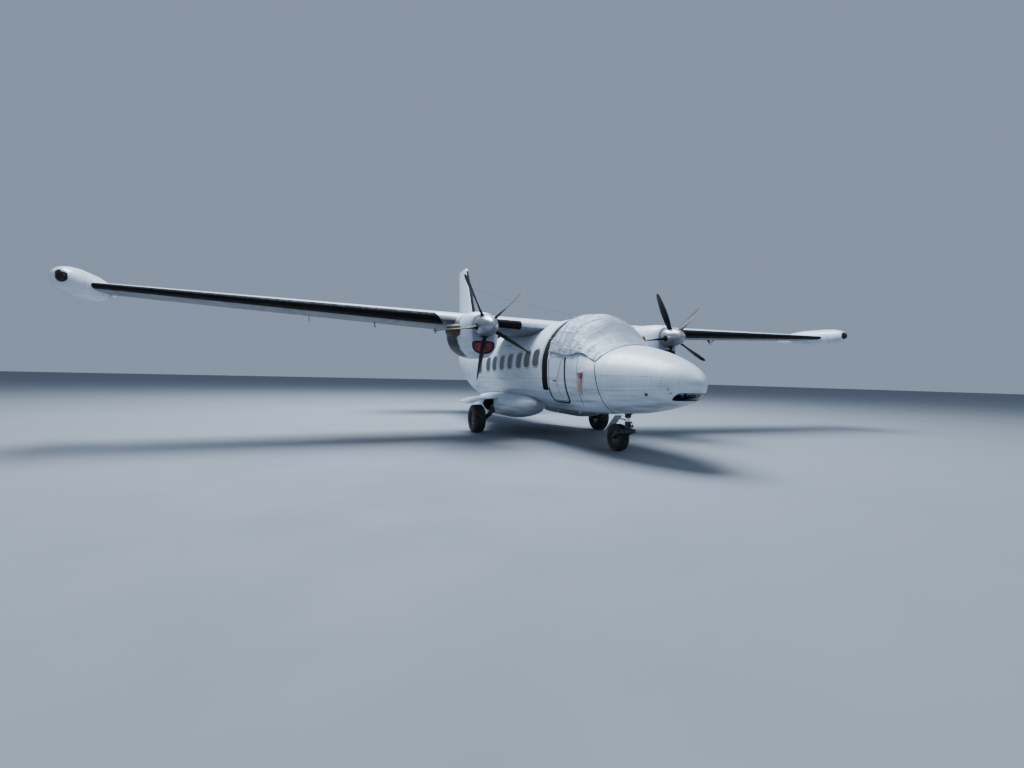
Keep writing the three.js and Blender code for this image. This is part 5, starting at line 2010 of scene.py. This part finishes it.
    def build_tank(self, side: Side) -> None:
        """One tip tank with its nose lamp and the collar round the wing.

        Args:
            side: The side.
        """
        rows = ((4.380, 0.0), (4.395, 0.060), (4.470, 0.130), (4.640, 0.196), (4.900, 0.236),
                (5.200, 0.250), (5.700, 0.250), (6.150, 0.222), (6.550, 0.145), (6.850, 0.050),
                (6.880, 0.0))
        first = rows[0][0]
        track, profile = blunt(rows, 60)
        centre = Vector((WING_TIP, 0, WING_TIP_HEIGHT + 0.015))
        show("tip_tank_skin", Shaper.turned(profile, centre, 64), TANK_PAINT, Slot.WHITE, "tip_tank",
             side=side)
        self.build_tank_lamp(side, track, first)
        rings = []
        for station in (4.86, 6.05):
            radius = track.at(sqrt(station - first))
            low, high, end = radius - 0.004, radius + 0.0008, station + 0.006
            ring = [(station, low), (station, high), (end, high), (end, low), (station, low)]
            rings.append(Shaper.turned(ring, centre, 64))
        show("tip_tank_rings", rings, DARK_METAL, side=side)
        lens = Shaper.dome(-0.02, 0.045, 0.032, centre + at(0.243, 4.99, 0.05), ACROSS, 28)
        show("navigation_lamp", lens, RED_LAMP if side is Side.PORT else GREEN_LAMP, side=side)
        self.build_collar(side)

    def build_tank_lamp(self, side: Side, track: Track, first: float) -> None:
        """The round lamp window on the inboard side of a tank's nose.

        Args:
            side: The tank's side.
            track: The tank's radius over the root of the distance behind its tip.
            first: The station of its tip.
        """
        out = Vector((-0.50, -0.86, 0.06)).normalized()
        across = UP.cross(out).normalized()
        over = out.cross(across)
        middle = Vector((WING_TIP, 0, WING_TIP_HEIGHT + 0.015))

        def lay(a: float, b: float, height: float) -> Vector:
            """The tank's skin under a point of the lamp's plane.

            Args:
                a: The distance across the lamp.
                b: The distance up it.
                height: The height above the skin.

            Returns:
                The point.
            """
            start = middle + at(-0.055, 4.42, 0.01) + across * a + over * b
            inner, outer = -0.12, 0.10
            for _ in range(28):
                half = (inner + outer) / 2
                spot = start + out * half
                behind = spot.y - aft(first)
                wide = hypot(spot.x - middle.x, spot.z - middle.z)
                if behind < 0 or wide > track.at(sqrt(behind)):
                    outer = half
                else:
                    inner = half
            return start + out * (inner + height)

        wide, high, edge = 0.074, 0.100, 0.008
        ends = ((-wide, -high), (wide, high))
        pane = Plate(*ends, wide * 0.98)
        cuts = (0.012, 0.012)
        show("tip_tank_lamp", pane.laid(lay, -0.004, 0.0015, cuts), TANK_LAMP, side=side)
        rim = Plate(*ends, wide + edge * 0.9, grow=edge)
        ring = rim.bordered(edge * 1.5).laid(lay, -0.004, 0.003, cuts)
        show("tip_tank_lamp_rim", ring, DARK_METAL, side=side)

    def build_collar(self, side: Side) -> None:
        """The fillet strip round the wing where it enters the tank.

        Args:
            side: The side.
        """
        low, high = 9.50 / WING_TIP, 9.535 / WING_TIP
        strip = Plate((low, -0.98), (high, 0.98)).laid(WING.above, -0.001, 0.004, (0.01, 0.03))
        show("tank_collar", strip, DARK_METAL, side=side)

    def build(self) -> None:
        """Builds the wing and everything on it."""
        self.build_skins()
        for step in (self.build_movers, self.build_brackets, self.build_boots, self.build_wicks,
                     self.build_tank):
            both(step)


@dataclass
class PowerPlant:
    """One engine's cowling, exhausts, intake, spinner and propeller.

    Attributes:
        cowl: The cowling's sections.
        duct: The intake's sections, flat above and round below.
        plane: The station of the propeller.
        radius: The propeller's radius.
        first_blade: The first blade's angle in degrees, seen from ahead.
        blades: The number of blades.
    """

    cowl: OvalBody = field(default_factory=lambda: OvalBody(
        rows=(
            (3.900, ENGINE_SPAN, 0.240, 1.945, 2.420, 2.725),
            (3.906, ENGINE_SPAN, 0.290, 1.897, 2.420, 2.768),
            (3.935, ENGINE_SPAN, 0.318, 1.871, 2.416, 2.792),
            (3.980, ENGINE_SPAN, 0.345, 1.850, 2.410, 2.810),
            (4.200, ENGINE_SPAN, 0.415, 1.835, 2.400, 2.850),
            (4.700, ENGINE_SPAN, 0.440, 1.840, 2.400, 2.870),
            (5.200, ENGINE_SPAN, 0.430, 1.910, 2.420, 2.865),
            (5.700, ENGINE_SPAN, 0.350, 2.090, 2.460, 2.820),
            (6.050, ENGINE_SPAN, 0.240, 2.280, 2.500, 2.760),
            (6.240, ENGINE_SPAN, 0.130, 2.400, 2.520, 2.680),
        ),
        power=2.5))
    duct: OvalBody = field(default_factory=lambda: OvalBody(rows=tuple(
        (station, ENGINE_SPAN, 0.235, 1.935, 2.125, 2.190, 4.0, 2.3) for station in (3.8, 4.6))))
    plane: float = 3.700
    radius: float = 1.150
    first_blade: float = 116.0
    blades: int = 5

    def build_cowl(self, side: Side) -> None:
        """The cowling with its intake and the lip round it.

        Args:
            side: The side.
        """
        stations = [row[0] for row in self.cowl.rows[:3]] + steps_between(3.98, 6.24, 44)
        duct = Shaper.lofted([self.duct.ring(3.85, 48), self.duct.ring(4.5, 48, 0.03)])
        show("nacelle_skin", self.cowl.skin(stations, 80), COWL_PAINT, Slot.WHITE, "nacelle", side=side,
             cutters=[duct], lining=WELL_LINING)
        show("intake_lip", Shaper.wrapped(96, 16, self.lip_place), BOOT_RUBBER, side=side)

    def lip_place(self, u: float, v: float) -> Vector:
        """A point of the rubber lip round the intake's mouth.

        Args:
            u: The share round the mouth.
            v: The share round the lip's own section.

        Returns:
            The point.
        """
        _, _, _, bottom, _, top, *_ = self.duct.rows[0]
        middle = at(ENGINE_SPAN, 3.908, (bottom + top) / 2)
        point = self.duct.around(3.908, circle(96, 0.5)[round(u * 96) % 96], -0.004)
        turn = 2 * pi * v
        return point + (point - middle).normalized() * 0.012 * cos(turn) + AFTWARD * 0.012 * sin(turn)

    def build_plug(self, side: Side) -> None:
        """The soft plug in the intake.

        Args:
            side: The side.
        """
        rows = ((3.928, 0.060), (3.922, 0.035), (3.926, 0.012), (3.950, 0.004), (4.000, 0.006),
                (4.060, 0.010), (4.072, 0.03), (4.075, 0.07))
        plug = Shaper.lofted([self.duct.ring(station, 72, inset + 0.003) for station, inset in rows])
        for vertex in plug.bm.verts:
            dent = noise.noise(vertex.co * 11.0) * 0.006
            if vertex.co.y < aft(3.94):
                vertex.co.y += dent
        made = show("intake_plug_pad", plug, PLUG_CLOTH, Slot.PLUG, "intake_plug", side=side, sharp=60.0)

    def build_core(self, side: Side) -> None:
        """The engine's casing and its hollow exhaust stubs.

        Args:
            side: The side.
        """
        rows = ((3.91, 0.0), (3.91, 0.06), (3.99, 0.06), (4.01, 0.16), (4.25, 0.19), (4.27, 0.27),
                (5.15, 0.28), (5.16, 0.24), (5.16, 0.0))
        core = Shaper.turned(rows, self.shaft(Side.PORT), 40)
        show("engine_core", [core, self.exhaust(-1), self.exhaust(1)], BURNT_STEEL, Slot.ENGINE, "engine",
             side=side)

    def exhaust(self, sign: int) -> Shaper:
        """One exhaust stub, out through the cowling and bent aft, open at its end.

        Args:
            sign: 1 for the outboard stub, -1 for the inboard one.

        Returns:
            The closed mesh.
        """
        rows = ((0.150, 4.270, 0), (0.330, 4.290, 8), (0.450, 4.360, 25), (0.535, 4.480, 50),
                (0.575, 4.620, 68))
        tracks = [Track(range(len(rows)), column) for column in zip(*rows)]
        last = len(rows) - 1

        def ring(place: float, scale: float) -> list[Vector]:
            """The stub's section at a place along it.

            Args:
                place: The place along the stub, counted in rows of its table.
                scale: The size as a share of the outside.

            Returns:
                The points, in order.
            """
            out, station, turn = (track.at(place) for track in tracks)
            angle = radians(turn)
            flat = Vector((-sin(angle), sign * cos(angle), 0))
            centre = at(ENGINE_SPAN + sign * out, station, 2.445)
            return [centre + flat * (0.095 * scale * cos(a)) + UP * (0.125 * scale * sin(a))
                    for a in circle(40)]

        outer = [ring(last * k / 24, 1.0) for k in range(25)]
        inner = [ring(last - last * k / 24, 0.95) for k in range(18)]
        return Shaper.lofted(outer + inner)

    def build_spinner(self, side: Side) -> None:
        """The spinner and its back plate.

        Args:
            side: The side.
        """
        rows = ((3.300, 0.0), (3.315, 0.045), (3.380, 0.115), (3.490, 0.178), (3.630, 0.222),
                (3.760, 0.245), (3.870, 0.245), (3.885, 0.240))
        profile = blunt(rows, 40)[1] + [(3.885, 0.225), (3.878, 0.222), (3.878, 0.0)]
        centre = self.shaft(side)
        holes = [Shaper.drum(0.15, 0.30, 0.072, centre + AFTWARD * aft(self.plane),
                             Vector((cos(angle), 0, sin(angle))), 36) for angle in self.angles()]
        show(f"spinner_shell_{side.word}", Shaper.turned(profile, centre, 96), SPINNER_SHEEN,
             Slot.SPINNER, f"spinner_{side.word}", f"propeller_{side.word}", cutters=holes,
             lining=WELL_LINING)

    def shaft(self, side: Side) -> Vector:
        """The point of a side's shaft at Y 0."""
        return Vector((side * ENGINE_SPAN, 0, SHAFT_HEIGHT))

    def angles(self) -> list[float]:
        """The blades' angles in radians."""
        return [radians(self.first_blade + 360 * k / self.blades) for k in range(self.blades)]

    def blade(self, side: Side, angle: float, grow: float = 0.0, first: float = 0.1,
              front: bool = False) -> Shaper:
        """One feathered blade.

        Args:
            side: The engine's side.
            angle: The blade's angle in radians.
            grow: How far it is drawn out from its skin.
            first: The radius at which it starts.
            front: Whether only the strip round its front edge is made.

        Returns:
            The closed mesh.
        """
        rows = ((0.100, 0.095, 0.080, 30), (0.200, 0.100, 0.078, 28), (0.300, 0.120, 0.056, 24),
                (0.420, 0.165, 0.040, 16), (0.700, 0.205, 0.024, 6), (0.950, 0.185, 0.016, -2),
                (1.080, 0.140, 0.012, -6), (1.130, 0.095, 0.009, -7), (self.radius, 0.030, 0.006, -8))
        tracks = [Track([row[0] for row in rows], column) for column in list(zip(*rows))[1:]]
        rings = []
        turns = arc(146, 214, 12) if front else circle(32)
        for radius in steps_between(first, self.radius, 44):
            chord, thick, turn = (track.at(radius) for track in tracks)
            ring = []
            for a in turns:
                sharp = 1 - 0.35 * ease(radius, 0.25, 0.5) * max(cos(a), 0)
                point = Vector(((thick / 2 + grow) * sin(a) * sharp, (chord / 2 + grow) * cos(a), radius))
                ring.append(Matrix.Rotation(side * radians(turn), 3, "Z") @ point)
            if front:
                ring += [point + AFTWARD * 0.004 for point in reversed(ring)]
            rings.append(ring)
        mesh = Shaper.lofted(rings)
        turn = Matrix.Rotation(pi / 2 - angle, 4, "Y")
        return mesh.moved(Matrix.Translation(self.shaft(side) + AFTWARD * aft(self.plane)) @ turn)

    def build_propeller(self, side: Side) -> None:
        """The hub, the blades and the strips on their front edges.

        Args:
            side: The side.
        """
        body = f"propeller_{side.word}"
        rows = ((3.59, 0.0), (3.59, 0.13), (3.60, 0.14), (3.88, 0.14), (3.885, 0.135), (3.885, 0.0))
        hub = Shaper.turned(rows, self.shaft(side), 48)
        blades = [self.blade(side, angle) for angle in self.angles()]
        show(f"propeller_blades_{side.word}", [hub, *blades], BLADE_PAINT, Slot.BLADE, body, body)
        edges = [self.blade(side, angle, 0.0026, 0.5, True) for angle in self.angles()]
        show(f"propeller_edges_{side.word}", edges, BLADE_EDGE, body=body)

    def build(self) -> None:
        """Builds both engines."""
        for step in (self.build_cowl, self.build_plug, self.build_core, self.build_spinner,
                     self.build_propeller):
            both(step)


@dataclass
class Tail:
    """The fin, rudder, tailplane and elevators.

    Attributes:
        fin: The fin's surface.
        plane: The port tailplane's surface.
        rudder_hinge: The rudder's hinge as a fraction of the chord.
        elevator_hinge: The elevators' hinge as a fraction of the chord.
        rudder_foot: The rudder's lowest height.
        elevator: The elevator's ends.
        gap: The gap round a moving part.
    """

    fin: Foil = field(default_factory=lambda: Foil(
        root=(at(0, 11.430, 2.500), 2.790, 0.300),
        tip=(at(0, 13.380, FIN_TOP), TAIL_STATION - 13.380, 0.120),
        upright=True))
    plane: Foil = field(default_factory=lambda: Foil(
        root=(at(0.040, 12.150, 3.180), 1.800, 0.215),
        tip=(Vector((3.368, aft(12.600), 3.180 + 3.328 * tan(radians(7)))), 1.020, 0.100)))
    rudder_hinge: float = 0.60
    elevator_hinge: float = 0.66
    rudder_foot: float = 2.560
    elevator: Pair = (0.430, 3.300)
    gap: float = 0.009

    def rise(self, height: float) -> float:
        """The part of the fin's span at a height."""
        return (height - 2.5) / (FIN_TOP - 2.5)

    def out(self, x: float) -> float:
        """The part of the tailplane's span at a distance from the middle."""
        return (x - 0.040) / (3.368 - 0.040)

    def rudder_cove(self) -> Shaper:
        """The space that the rudder needs."""
        return self.fin.cove([self.rise(2.3), self.rise(FIN_TOP + 0.1)], self.rudder_hinge, self.gap)

    def build_fin(self) -> None:
        """The fin and the rudder."""
        parts = steps_between(-0.06, 1.0, 24)
        show("fin_skin", self.fin.panel(parts), FIN_PAINT, Slot.WHITE, "fin", cutters=[self.rudder_cove()])
        rudder = self.fin.mover(steps_between(self.rise(self.rudder_foot), 1.0, 16), self.rudder_hinge)
        show("rudder_skin", rudder, FIN_PAINT, Slot.WHITE, "rudder", "rudder")
        boot = Plate((self.rise(3.35), -0.2), (self.rise(5.72), 0.2))
        show("fin_boot", boot.laid(self.fin.above, -0.001, 0.003, (0.05, 0.02)), BOOT_RUBBER)

    def build_plane(self, side: Side) -> None:
        """One tailplane half and its elevator.

        Args:
            side: The side.
        """
        first, last = self.elevator
        cove = self.plane.cove([self.out(first - 0.5), self.out(last + 0.2)], self.elevator_hinge, self.gap)
        skin = self.plane.panel(steps_between(self.out(0.02), 1.0, 16)).moved(mirrored(side))
        show(f"tailplane_skin_{side.word}", skin, WING_PAINT, Slot.WHITE, f"tailplane_{side.word}",
             cutters=[cove.moved(mirrored(side)), self.rudder_cove()])
        elevator = self.plane.mover(steps_between(self.out(first), self.out(last), 10), self.elevator_hinge)
        show("elevator_skin", elevator, WING_PAINT, Slot.WHITE, "elevator", "elevator", side)
        boot = Plate((self.out(0.35), -0.22), (self.out(3.28), 0.22))
        show("tailplane_boot", boot.laid(self.plane.above, -0.001, 0.003, (0.04, 0.02)), BOOT_RUBBER,
             side=side)

    def build_small_fins(self) -> None:
        """The dorsal fillet and the ventral fin."""
        dorsal = self.edge_plate(((10.0, 2.78, 2.79, 0.010), (11.2, 2.75, 3.115, 0.024),
                                  (12.35, 2.75, 3.42, 0.040)))
        show("dorsal_fin_skin", dorsal, PLAIN_PAINT, Slot.WHITE, "dorsal_fin")
        ventral = self.edge_plate(((12.45, 2.20, 2.15, 0.006), (12.80, 2.25, 1.56, 0.016),
                                   (13.20, 2.30, 1.73, 0.020), (13.60, 2.38, 1.90, 0.016),
                                   (13.85, 2.40, 2.30, 0.006)))
        show("ventral_fin_skin", ventral, PLAIN_PAINT, Slot.WHITE, "ventral_fin")

    def edge_plate(self, rows: Sequence[tuple[float, float, float, float]]) -> Shaper:
        """A thin upright plate with a round outer edge.

        Args:
            rows: Station, foot height, edge height and half thickness.

        Returns:
            The closed mesh.
        """
        rings = []
        for station, foot, edge, half in rows:
            way = copysign(1, edge - foot) if abs(edge - foot) > 0.02 else 1
            rim = [Vector((half * cos(a), aft(station), edge - way * half * (1 - sin(a)) * 1.5))
                   for a in arc(0, 180, 12)]
            rings.append([at(half, station, foot), *rim, at(-half, station, foot)])
        return Shaper.lofted(rings)

    def build(self) -> None:
        """Builds the tail."""
        self.build_fin()
        both(self.build_plane)
        self.build_small_fins()


STEERED = "nose_steering"


@dataclass
class LandingGear:
    """Fairings, legs, wheels and tyres.

    Attributes:
        fairing: The sponson's sections.
        main_place: The port main wheel's centre.
        nose_place: The nose wheel's centre.
        leg_station: The nose leg's station.
    """

    fairing: OvalBody = field(default_factory=lambda: OvalBody(
        rows=(
            (4.400, 0.850, 0.060, 0.790, 0.840, 0.890),
            (4.600, 0.890, 0.290, 0.650, 0.790, 0.950),
            (4.950, 0.920, 0.470, 0.500, 0.745, 1.000),
            (5.500, 0.940, 0.560, 0.430, 0.730, 1.020),
            (6.850, 0.940, 0.560, 0.440, 0.730, 1.020),
            (7.300, 0.920, 0.470, 0.540, 0.760, 1.000),
            (7.950, 0.890, 0.270, 0.690, 0.820, 0.950),
            (8.350, 0.870, 0.060, 0.810, 0.860, 0.910),
        ),
        power=2.2))
    main_place: Vector = field(default_factory=lambda: at(1.825, 6.060, 0.360))
    nose_place: Vector = field(default_factory=lambda: at(0.0, 2.390, 0.274))
    leg_station: float = 2.060

    def build_fairing(self, side: Side) -> None:
        """One sponson with its wheel well.

        Args:
            side: The side.
        """
        ring = [(0.43 * cos(a), 0.20 * sin(a)) for a in circle(48)]
        well = Shaper.lofted([[at(x, 6.12 + a, 0.70 + b) for a, b in ring] for x in (1.18, 1.62)])
        show("gear_fairing_skin", self.fairing.skin(steps_between(4.40, 8.35, 60), 72), FAIRING_PAINT,
             Slot.WHITE, "gear_fairing", side=side, cutters=[well], lining=WELL_LINING)

    def tyre(self, radius: float, width: float, rim: float, centre: Vector) -> Shaper:
        """A ribbed balloon tyre.

        Args:
            radius: The tyre's radius.
            width: The tyre's width.
            rim: The rim's radius.
            centre: The wheel's centre.

        Returns:
            The closed mesh.
        """
        half = width / 2
        shoulder = [(half * 0.62, rim), (half * 0.80, rim + 0.012), (half * 0.92, rim + 0.05),
                    (half, lerp(rim, radius, 0.5)), (half * 0.93, lerp(rim, radius, 0.78)),
                    (half * 0.80, lerp(rim, radius, 0.93)), (half * 0.60, radius - 0.004)]
        tread = []
        for groove in (0.45, 0.15):
            tread += [(half * (groove + 0.045), radius), (half * (groove + 0.035), radius - 0.009),
                      (half * (groove - 0.035), radius - 0.009), (half * (groove - 0.045), radius)]
        side = shoulder + tread
        profile = [(-a, r) for a, r in side] + side[::-1]
        return Shaper.spun([*profile, profile[0]], centre, ACROSS, 96)

    def wheel(self, rim: float, width: float, bore: float, centre: Vector, out: int) -> Shaper:
        """A dished wheel with hub and bolts, its dish to one side.

        Args:
            rim: The rim's radius.
            width: The tyre's width.
            bore: The axle hole's radius.
            centre: The wheel's centre.
            out: The dish's side, as a sign of X.

        Returns:
            The closed mesh.
        """
        half = width * 0.31
        profile = [(-half * 0.7, bore), (-half * 0.7, rim * 0.55), (-half * 0.75, rim * 0.85),
                   (-half, rim * 0.93), (-half, rim), (half, rim), (half, rim * 0.93),
                   (half * 0.72, rim * 0.86), (half * 0.38, rim * 0.62), (half * 0.45, rim * 0.45),
                   (half * 0.55, bore * 1.25), (half * 0.55, bore), (-half * 0.7, bore)]
        axis = ACROSS * out
        whole = Shaper.spun(profile, centre, axis, 64)
        for a in circle(8):
            seat = centre + Vector((0, cos(a), sin(a))) * rim * 0.74
            whole.add(Shaper.drum(half * 0.5, half * 0.68, 0.011, seat, axis, 6))
        return whole

    def build_main_wheel(self, side: Side) -> None:
        """One main wheel and its tyre.

        Args:
            side: The side.
        """
        centre = Vector((side * self.main_place.x, self.main_place.y, self.main_place.z))
        body = f"main_wheel_{side.word}"
        tyre = self.tyre(0.360, 0.310, 0.165, centre)
        show(f"main_tyre_rubber_{side.word}", tyre, TYRE_RUBBER, Slot.TYRE, f"main_tyre_{side.word}", body)
        wheel = self.wheel(0.165, 0.310, 0.050, centre, side)
        show(f"main_wheel_dish_{side.word}", wheel, WHEEL_ALLOY, Slot.WHEEL, body, body)

    def build_main_leg(self, side: Side) -> None:
        """One main leg: trailing arm, strut, axle and brake.

        Args:
            side: The side.
        """
        foot = self.main_place - Vector((0.215, 0, 0))
        runs = (
            ((at(1.182, 5.83, 0.69), at(1.50, 5.83, 0.69)), 0.060),
            ((at(1.42, 5.83, 0.69), at(1.56, 5.86, 0.47)), 0.058),
            ((at(1.56, 5.85, 0.48), foot), 0.052),
            ((foot - Vector((0.05, 0, 0)), self.main_place + Vector((0.07, 0, 0))), 0.044),
        )
        leg = [self.strut(*ends, radius) for ends, radius in runs]
        show("main_leg_frame", leg, GEAR_STEEL, Slot.GEAR, "main_leg", side=side)
        top = at(1.33, 6.05, 0.74)
        base = foot + Vector((-0.01, -0.06, 0.03))
        show("main_oleo_rod", self.strut(top.lerp(base, 0.35), base, 0.028), CHROME, side=side)
        show("main_oleo_barrel", self.strut(top, top.lerp(base, 0.58), 0.042), GEAR_STEEL, side=side)
        rows = [(-0.105, 0.05), (-0.105, 0.13), (-0.092, 0.135), (-0.080, 0.13), (-0.080, 0.05),
                (-0.105, 0.05)]
        show("main_brake", Shaper.spun(rows, self.main_place, ACROSS, 56), BRAKE_STEEL, side=side)

    def strut(self, first: Vector, last: Vector, radius: float) -> Shaper:
        """A round bar with softened ends.

        Args:
            first: The middle of one end.
            last: The middle of the other end.
            radius: The bar's radius.

        Returns:
            The closed mesh.
        """
        along = (last - first).normalized()
        length = (last - first).length
        edge = min(0.006, radius / 3)
        profile = [(0.0, 0.0), (0.0, radius - edge), (edge, radius), (length - edge, radius),
                   (length, radius - edge), (length, 0.0)]
        return Shaper.spun(profile, first, along, 28)

    def build_main_door(self, side: Side) -> None:
        """The curved plate over a main wheel.

        Args:
            side: The side.
        """
        track = Track((1.330, 1.695, 1.925, 2.110), (0.9075, 0.8875, 0.8375, 0.769))
        plate = Plate((5.640, 1.418), (6.780, 2.110), 0.03)
        mesh = plate.laid(lambda s, x, h: at(x, s, track.at(x) + h), -0.006, 0.006, (0.2, 0.04))
        show("main_gear_door_skin", mesh, PLAIN_PAINT, Slot.WHITE, "main_gear_door", side=side)

    def build_nose(self) -> None:
        """The nose leg, fork, door, wheel and tyre."""
        base = at(0, self.leg_station, 0)
        wheel = self.nose_place
        leg = [
            self.strut(base + UP * 0.70, base + UP * 0.98, 0.062),
            self.strut(base + UP * 0.85 - ACROSS * 0.15, base + UP * 0.85 + ACROSS * 0.15, 0.035),
            self.strut(base + UP * 0.74, at(0, 1.77, 0.88), 0.026),
        ]
        show("nose_leg_frame", leg, GEAR_STEEL, Slot.GEAR, "nose_leg")
        arms = [self.strut(base + UP * 0.42 + ACROSS * x, wheel + ACROSS * x, 0.024)
                for x in (-0.142, 0.142)]
        axle = self.strut(wheel - ACROSS * 0.165, wheel + ACROSS * 0.165, 0.028)
        fork = [self.strut(base + UP * 0.47, base + UP * 0.62, 0.060), self.crown(), *arms, axle]
        show("nose_fork_frame", fork, GEAR_STEEL, Slot.GEAR, "nose_fork", STEERED)
        rod = self.strut(base + UP * 0.45, base + UP * 0.694, 0.044)
        show("nose_oleo_rod", rod, CHROME, body=STEERED)
        door = Plate((0.0, -0.085), (1.0, 0.085), 0.01)
        ends = (at(0, 2.385, 0.712), at(0, 2.790, 0.330))
        mesh = door.laid(lambda s, x, h: ends[0].lerp(ends[1], s) + Vector((x, h, h)), 0.0, 0.009,
                         (0.1, 0.04))
        stay = self.strut(base + Vector((0, 0.05, 0.64)), at(0, 2.435, 0.672), 0.016)
        show("nose_gear_door_plate", mesh.add(stay), PLAIN_PAINT, Slot.WHITE, "nose_gear_door", STEERED)
        self.build_torque_links(base)
        show("nose_tyre_rubber", self.tyre(0.274, 0.221, 0.125, wheel), TYRE_RUBBER, Slot.TYRE, "nose_tyre",
             "nose_wheel")
        show("nose_wheel_dish", self.wheel(0.125, 0.221, 0.034, wheel, -1), WHEEL_ALLOY, Slot.WHEEL,
             "nose_wheel", "nose_wheel")

    def build_torque_links(self, base: Vector) -> None:
        """The two folded links ahead of the nose leg, and the hose beside it.

        Args:
            base: The point of the ground under the leg.
        """
        knee = base + Vector((0, -0.150, 0.545))
        links = []
        for height in (0.47, 0.63):
            for sign in (-1, 1):
                start = base + Vector((sign * 0.040, -0.050, height))
                links.append(self.strut(start, knee + ACROSS * (sign * 0.014), 0.009))
        links.append(self.strut(knee - ACROSS * 0.03, knee + ACROSS * 0.03, 0.013))
        show("nose_torque_links", links, GEAR_STEEL, body=STEERED)
        run = [base + Vector((0.066 + 0.012 * sin(k), 0.01, lerp(0.70, 0.92, k / 8))) for k in range(9)]
        show("nose_leg_pipe", Shaper.tube(run, [0.006] * 9, 10), SEAL_RUBBER)

    def crown(self) -> Shaper:
        """The block across the top of the nose fork.

        Returns:
            The closed mesh.
        """
        plate = Plate((-0.165, self.leg_station - 0.05), (0.165, self.leg_station + 0.05), 0.03)
        block = plate.laid(lambda x, s, h: at(x, s, h), 0.39, 0.47, (0.2, 0.2))
        return block.softened(0.006)

    def build(self) -> None:
        """Builds the gear."""
        for step in (self.build_fairing, self.build_main_wheel, self.build_main_leg, self.build_main_door):
            both(step)
        self.build_nose()


@dataclass
class Studio:
    """The camera, the floor and the lights.

    Attributes:
        place: The camera's place.
        yaw: Degrees that it looks to the right of +Y.
        pitch: Degrees that it looks up.
        roll: Degrees that it leans.
        lens: Its focal length on a sensor of a given width, both in millimetres.
        sensor: That width.
        sky: The colour of the light from all round.
        sky_strength: Its strength.
        lamps: Each lamp's name, place and power.
        lamp_size: The width of a lamp.
        lamp_colour: Its colour.
        aim: The point that the lamps shine at.
        floor_half: Half the width of the floor.
    """

    place: Vector = field(default_factory=lambda: Vector((-5.748, -13.374, 1.452)))
    yaw: float = 21.94
    pitch: float = -0.84
    roll: float = 1.28
    lens: float = 17.314
    sensor: float = 36.0
    sky: Colour = (0.52, 0.66, 0.90)
    sky_strength: float = 0.48
    lamps: tuple[tuple[str, Triple, float], ...] = (
        ("key", (-2.0, 5.0, 24.0), 19000.0),
        ("front", (-16.0, -20.0, 18.0), 500.0),
        ("fill", (20.0, -14.0, 18.0), 900.0),
    )
    lamp_size: float = 16.0
    lamp_colour: Colour = (0.80, 0.90, 1.0)
    aim: Triple = (0.0, 0.0, 1.5)
    floor_half: float = 150.0

    def build_camera(self) -> None:
        """Sets the camera where the photograph was taken from."""
        yaw, pitch, roll = (radians(a) for a in (self.yaw, self.pitch, self.roll))
        forward = Vector((sin(yaw) * cos(pitch), cos(yaw) * cos(pitch), sin(pitch)))
        right = Vector((cos(yaw), -sin(yaw), 0))
        up = right.cross(forward)
        across = right * cos(roll) + up * sin(roll)
        over = up * cos(roll) - right * sin(roll)
        data = bpy.data.cameras.new("camera")
        data.lens = self.lens
        data.sensor_width = self.sensor
        data.sensor_fit = "HORIZONTAL"
        camera = bpy.data.objects.new("camera", data)
        turn = Matrix((across, over, -forward)).transposed().to_4x4()
        camera.matrix_world = Matrix.Translation(self.place) @ turn
        bpy.context.scene.collection.objects.link(camera)
        bpy.context.scene.camera = camera

    def build_floor(self) -> None:
        """Lays the floor."""
        shaper = Shaper()
        bmesh.ops.create_grid(shaper.bm, x_segments=4, y_segments=4, size=self.floor_half,
                              calc_uvs=True)
        placed("floor", shaper, FLOOR_FINISH)

    def build_lights(self) -> None:
        """Hangs soft lamps over the aircraft under an even, pale blue sky."""
        world = bpy.data.worlds.new("studio")
        world.use_nodes = True
        background = world.node_tree.nodes["Background"]
        background.inputs[0].default_value = (*self.sky, 1.0)
        background.inputs[1].default_value = self.sky_strength
        bpy.context.scene.world = world
        for name, place, power in self.lamps:
            data = bpy.data.lights.new(name, "AREA")
            data.shape = "SQUARE"
            data.size = self.lamp_size
            data.energy = power
            data.color = self.lamp_colour
            lamp = bpy.data.objects.new(name, data)
            lamp.location = place
            way = Vector(self.aim) - Vector(place)
            lamp.rotation_euler = way.to_track_quat("-Z", "Y").to_euler()
            bpy.context.scene.collection.objects.link(lamp)

    def build(self) -> None:
        """Builds the studio."""
        self.build_camera()
        self.build_floor()
        self.build_lights()


def main() -> None:
    """Builds every sub-assembly in order."""
    logging.basicConfig(level=logging.INFO, format="%(message)s")
    for assembly in (Studio(), Fuselage(), CockpitCover(), Wing(), PowerPlant(), Tail(), LandingGear()):
        LOG.info("building %s", type(assembly).__name__)
        assembly.build()


if __name__ == "__main__":
    main()
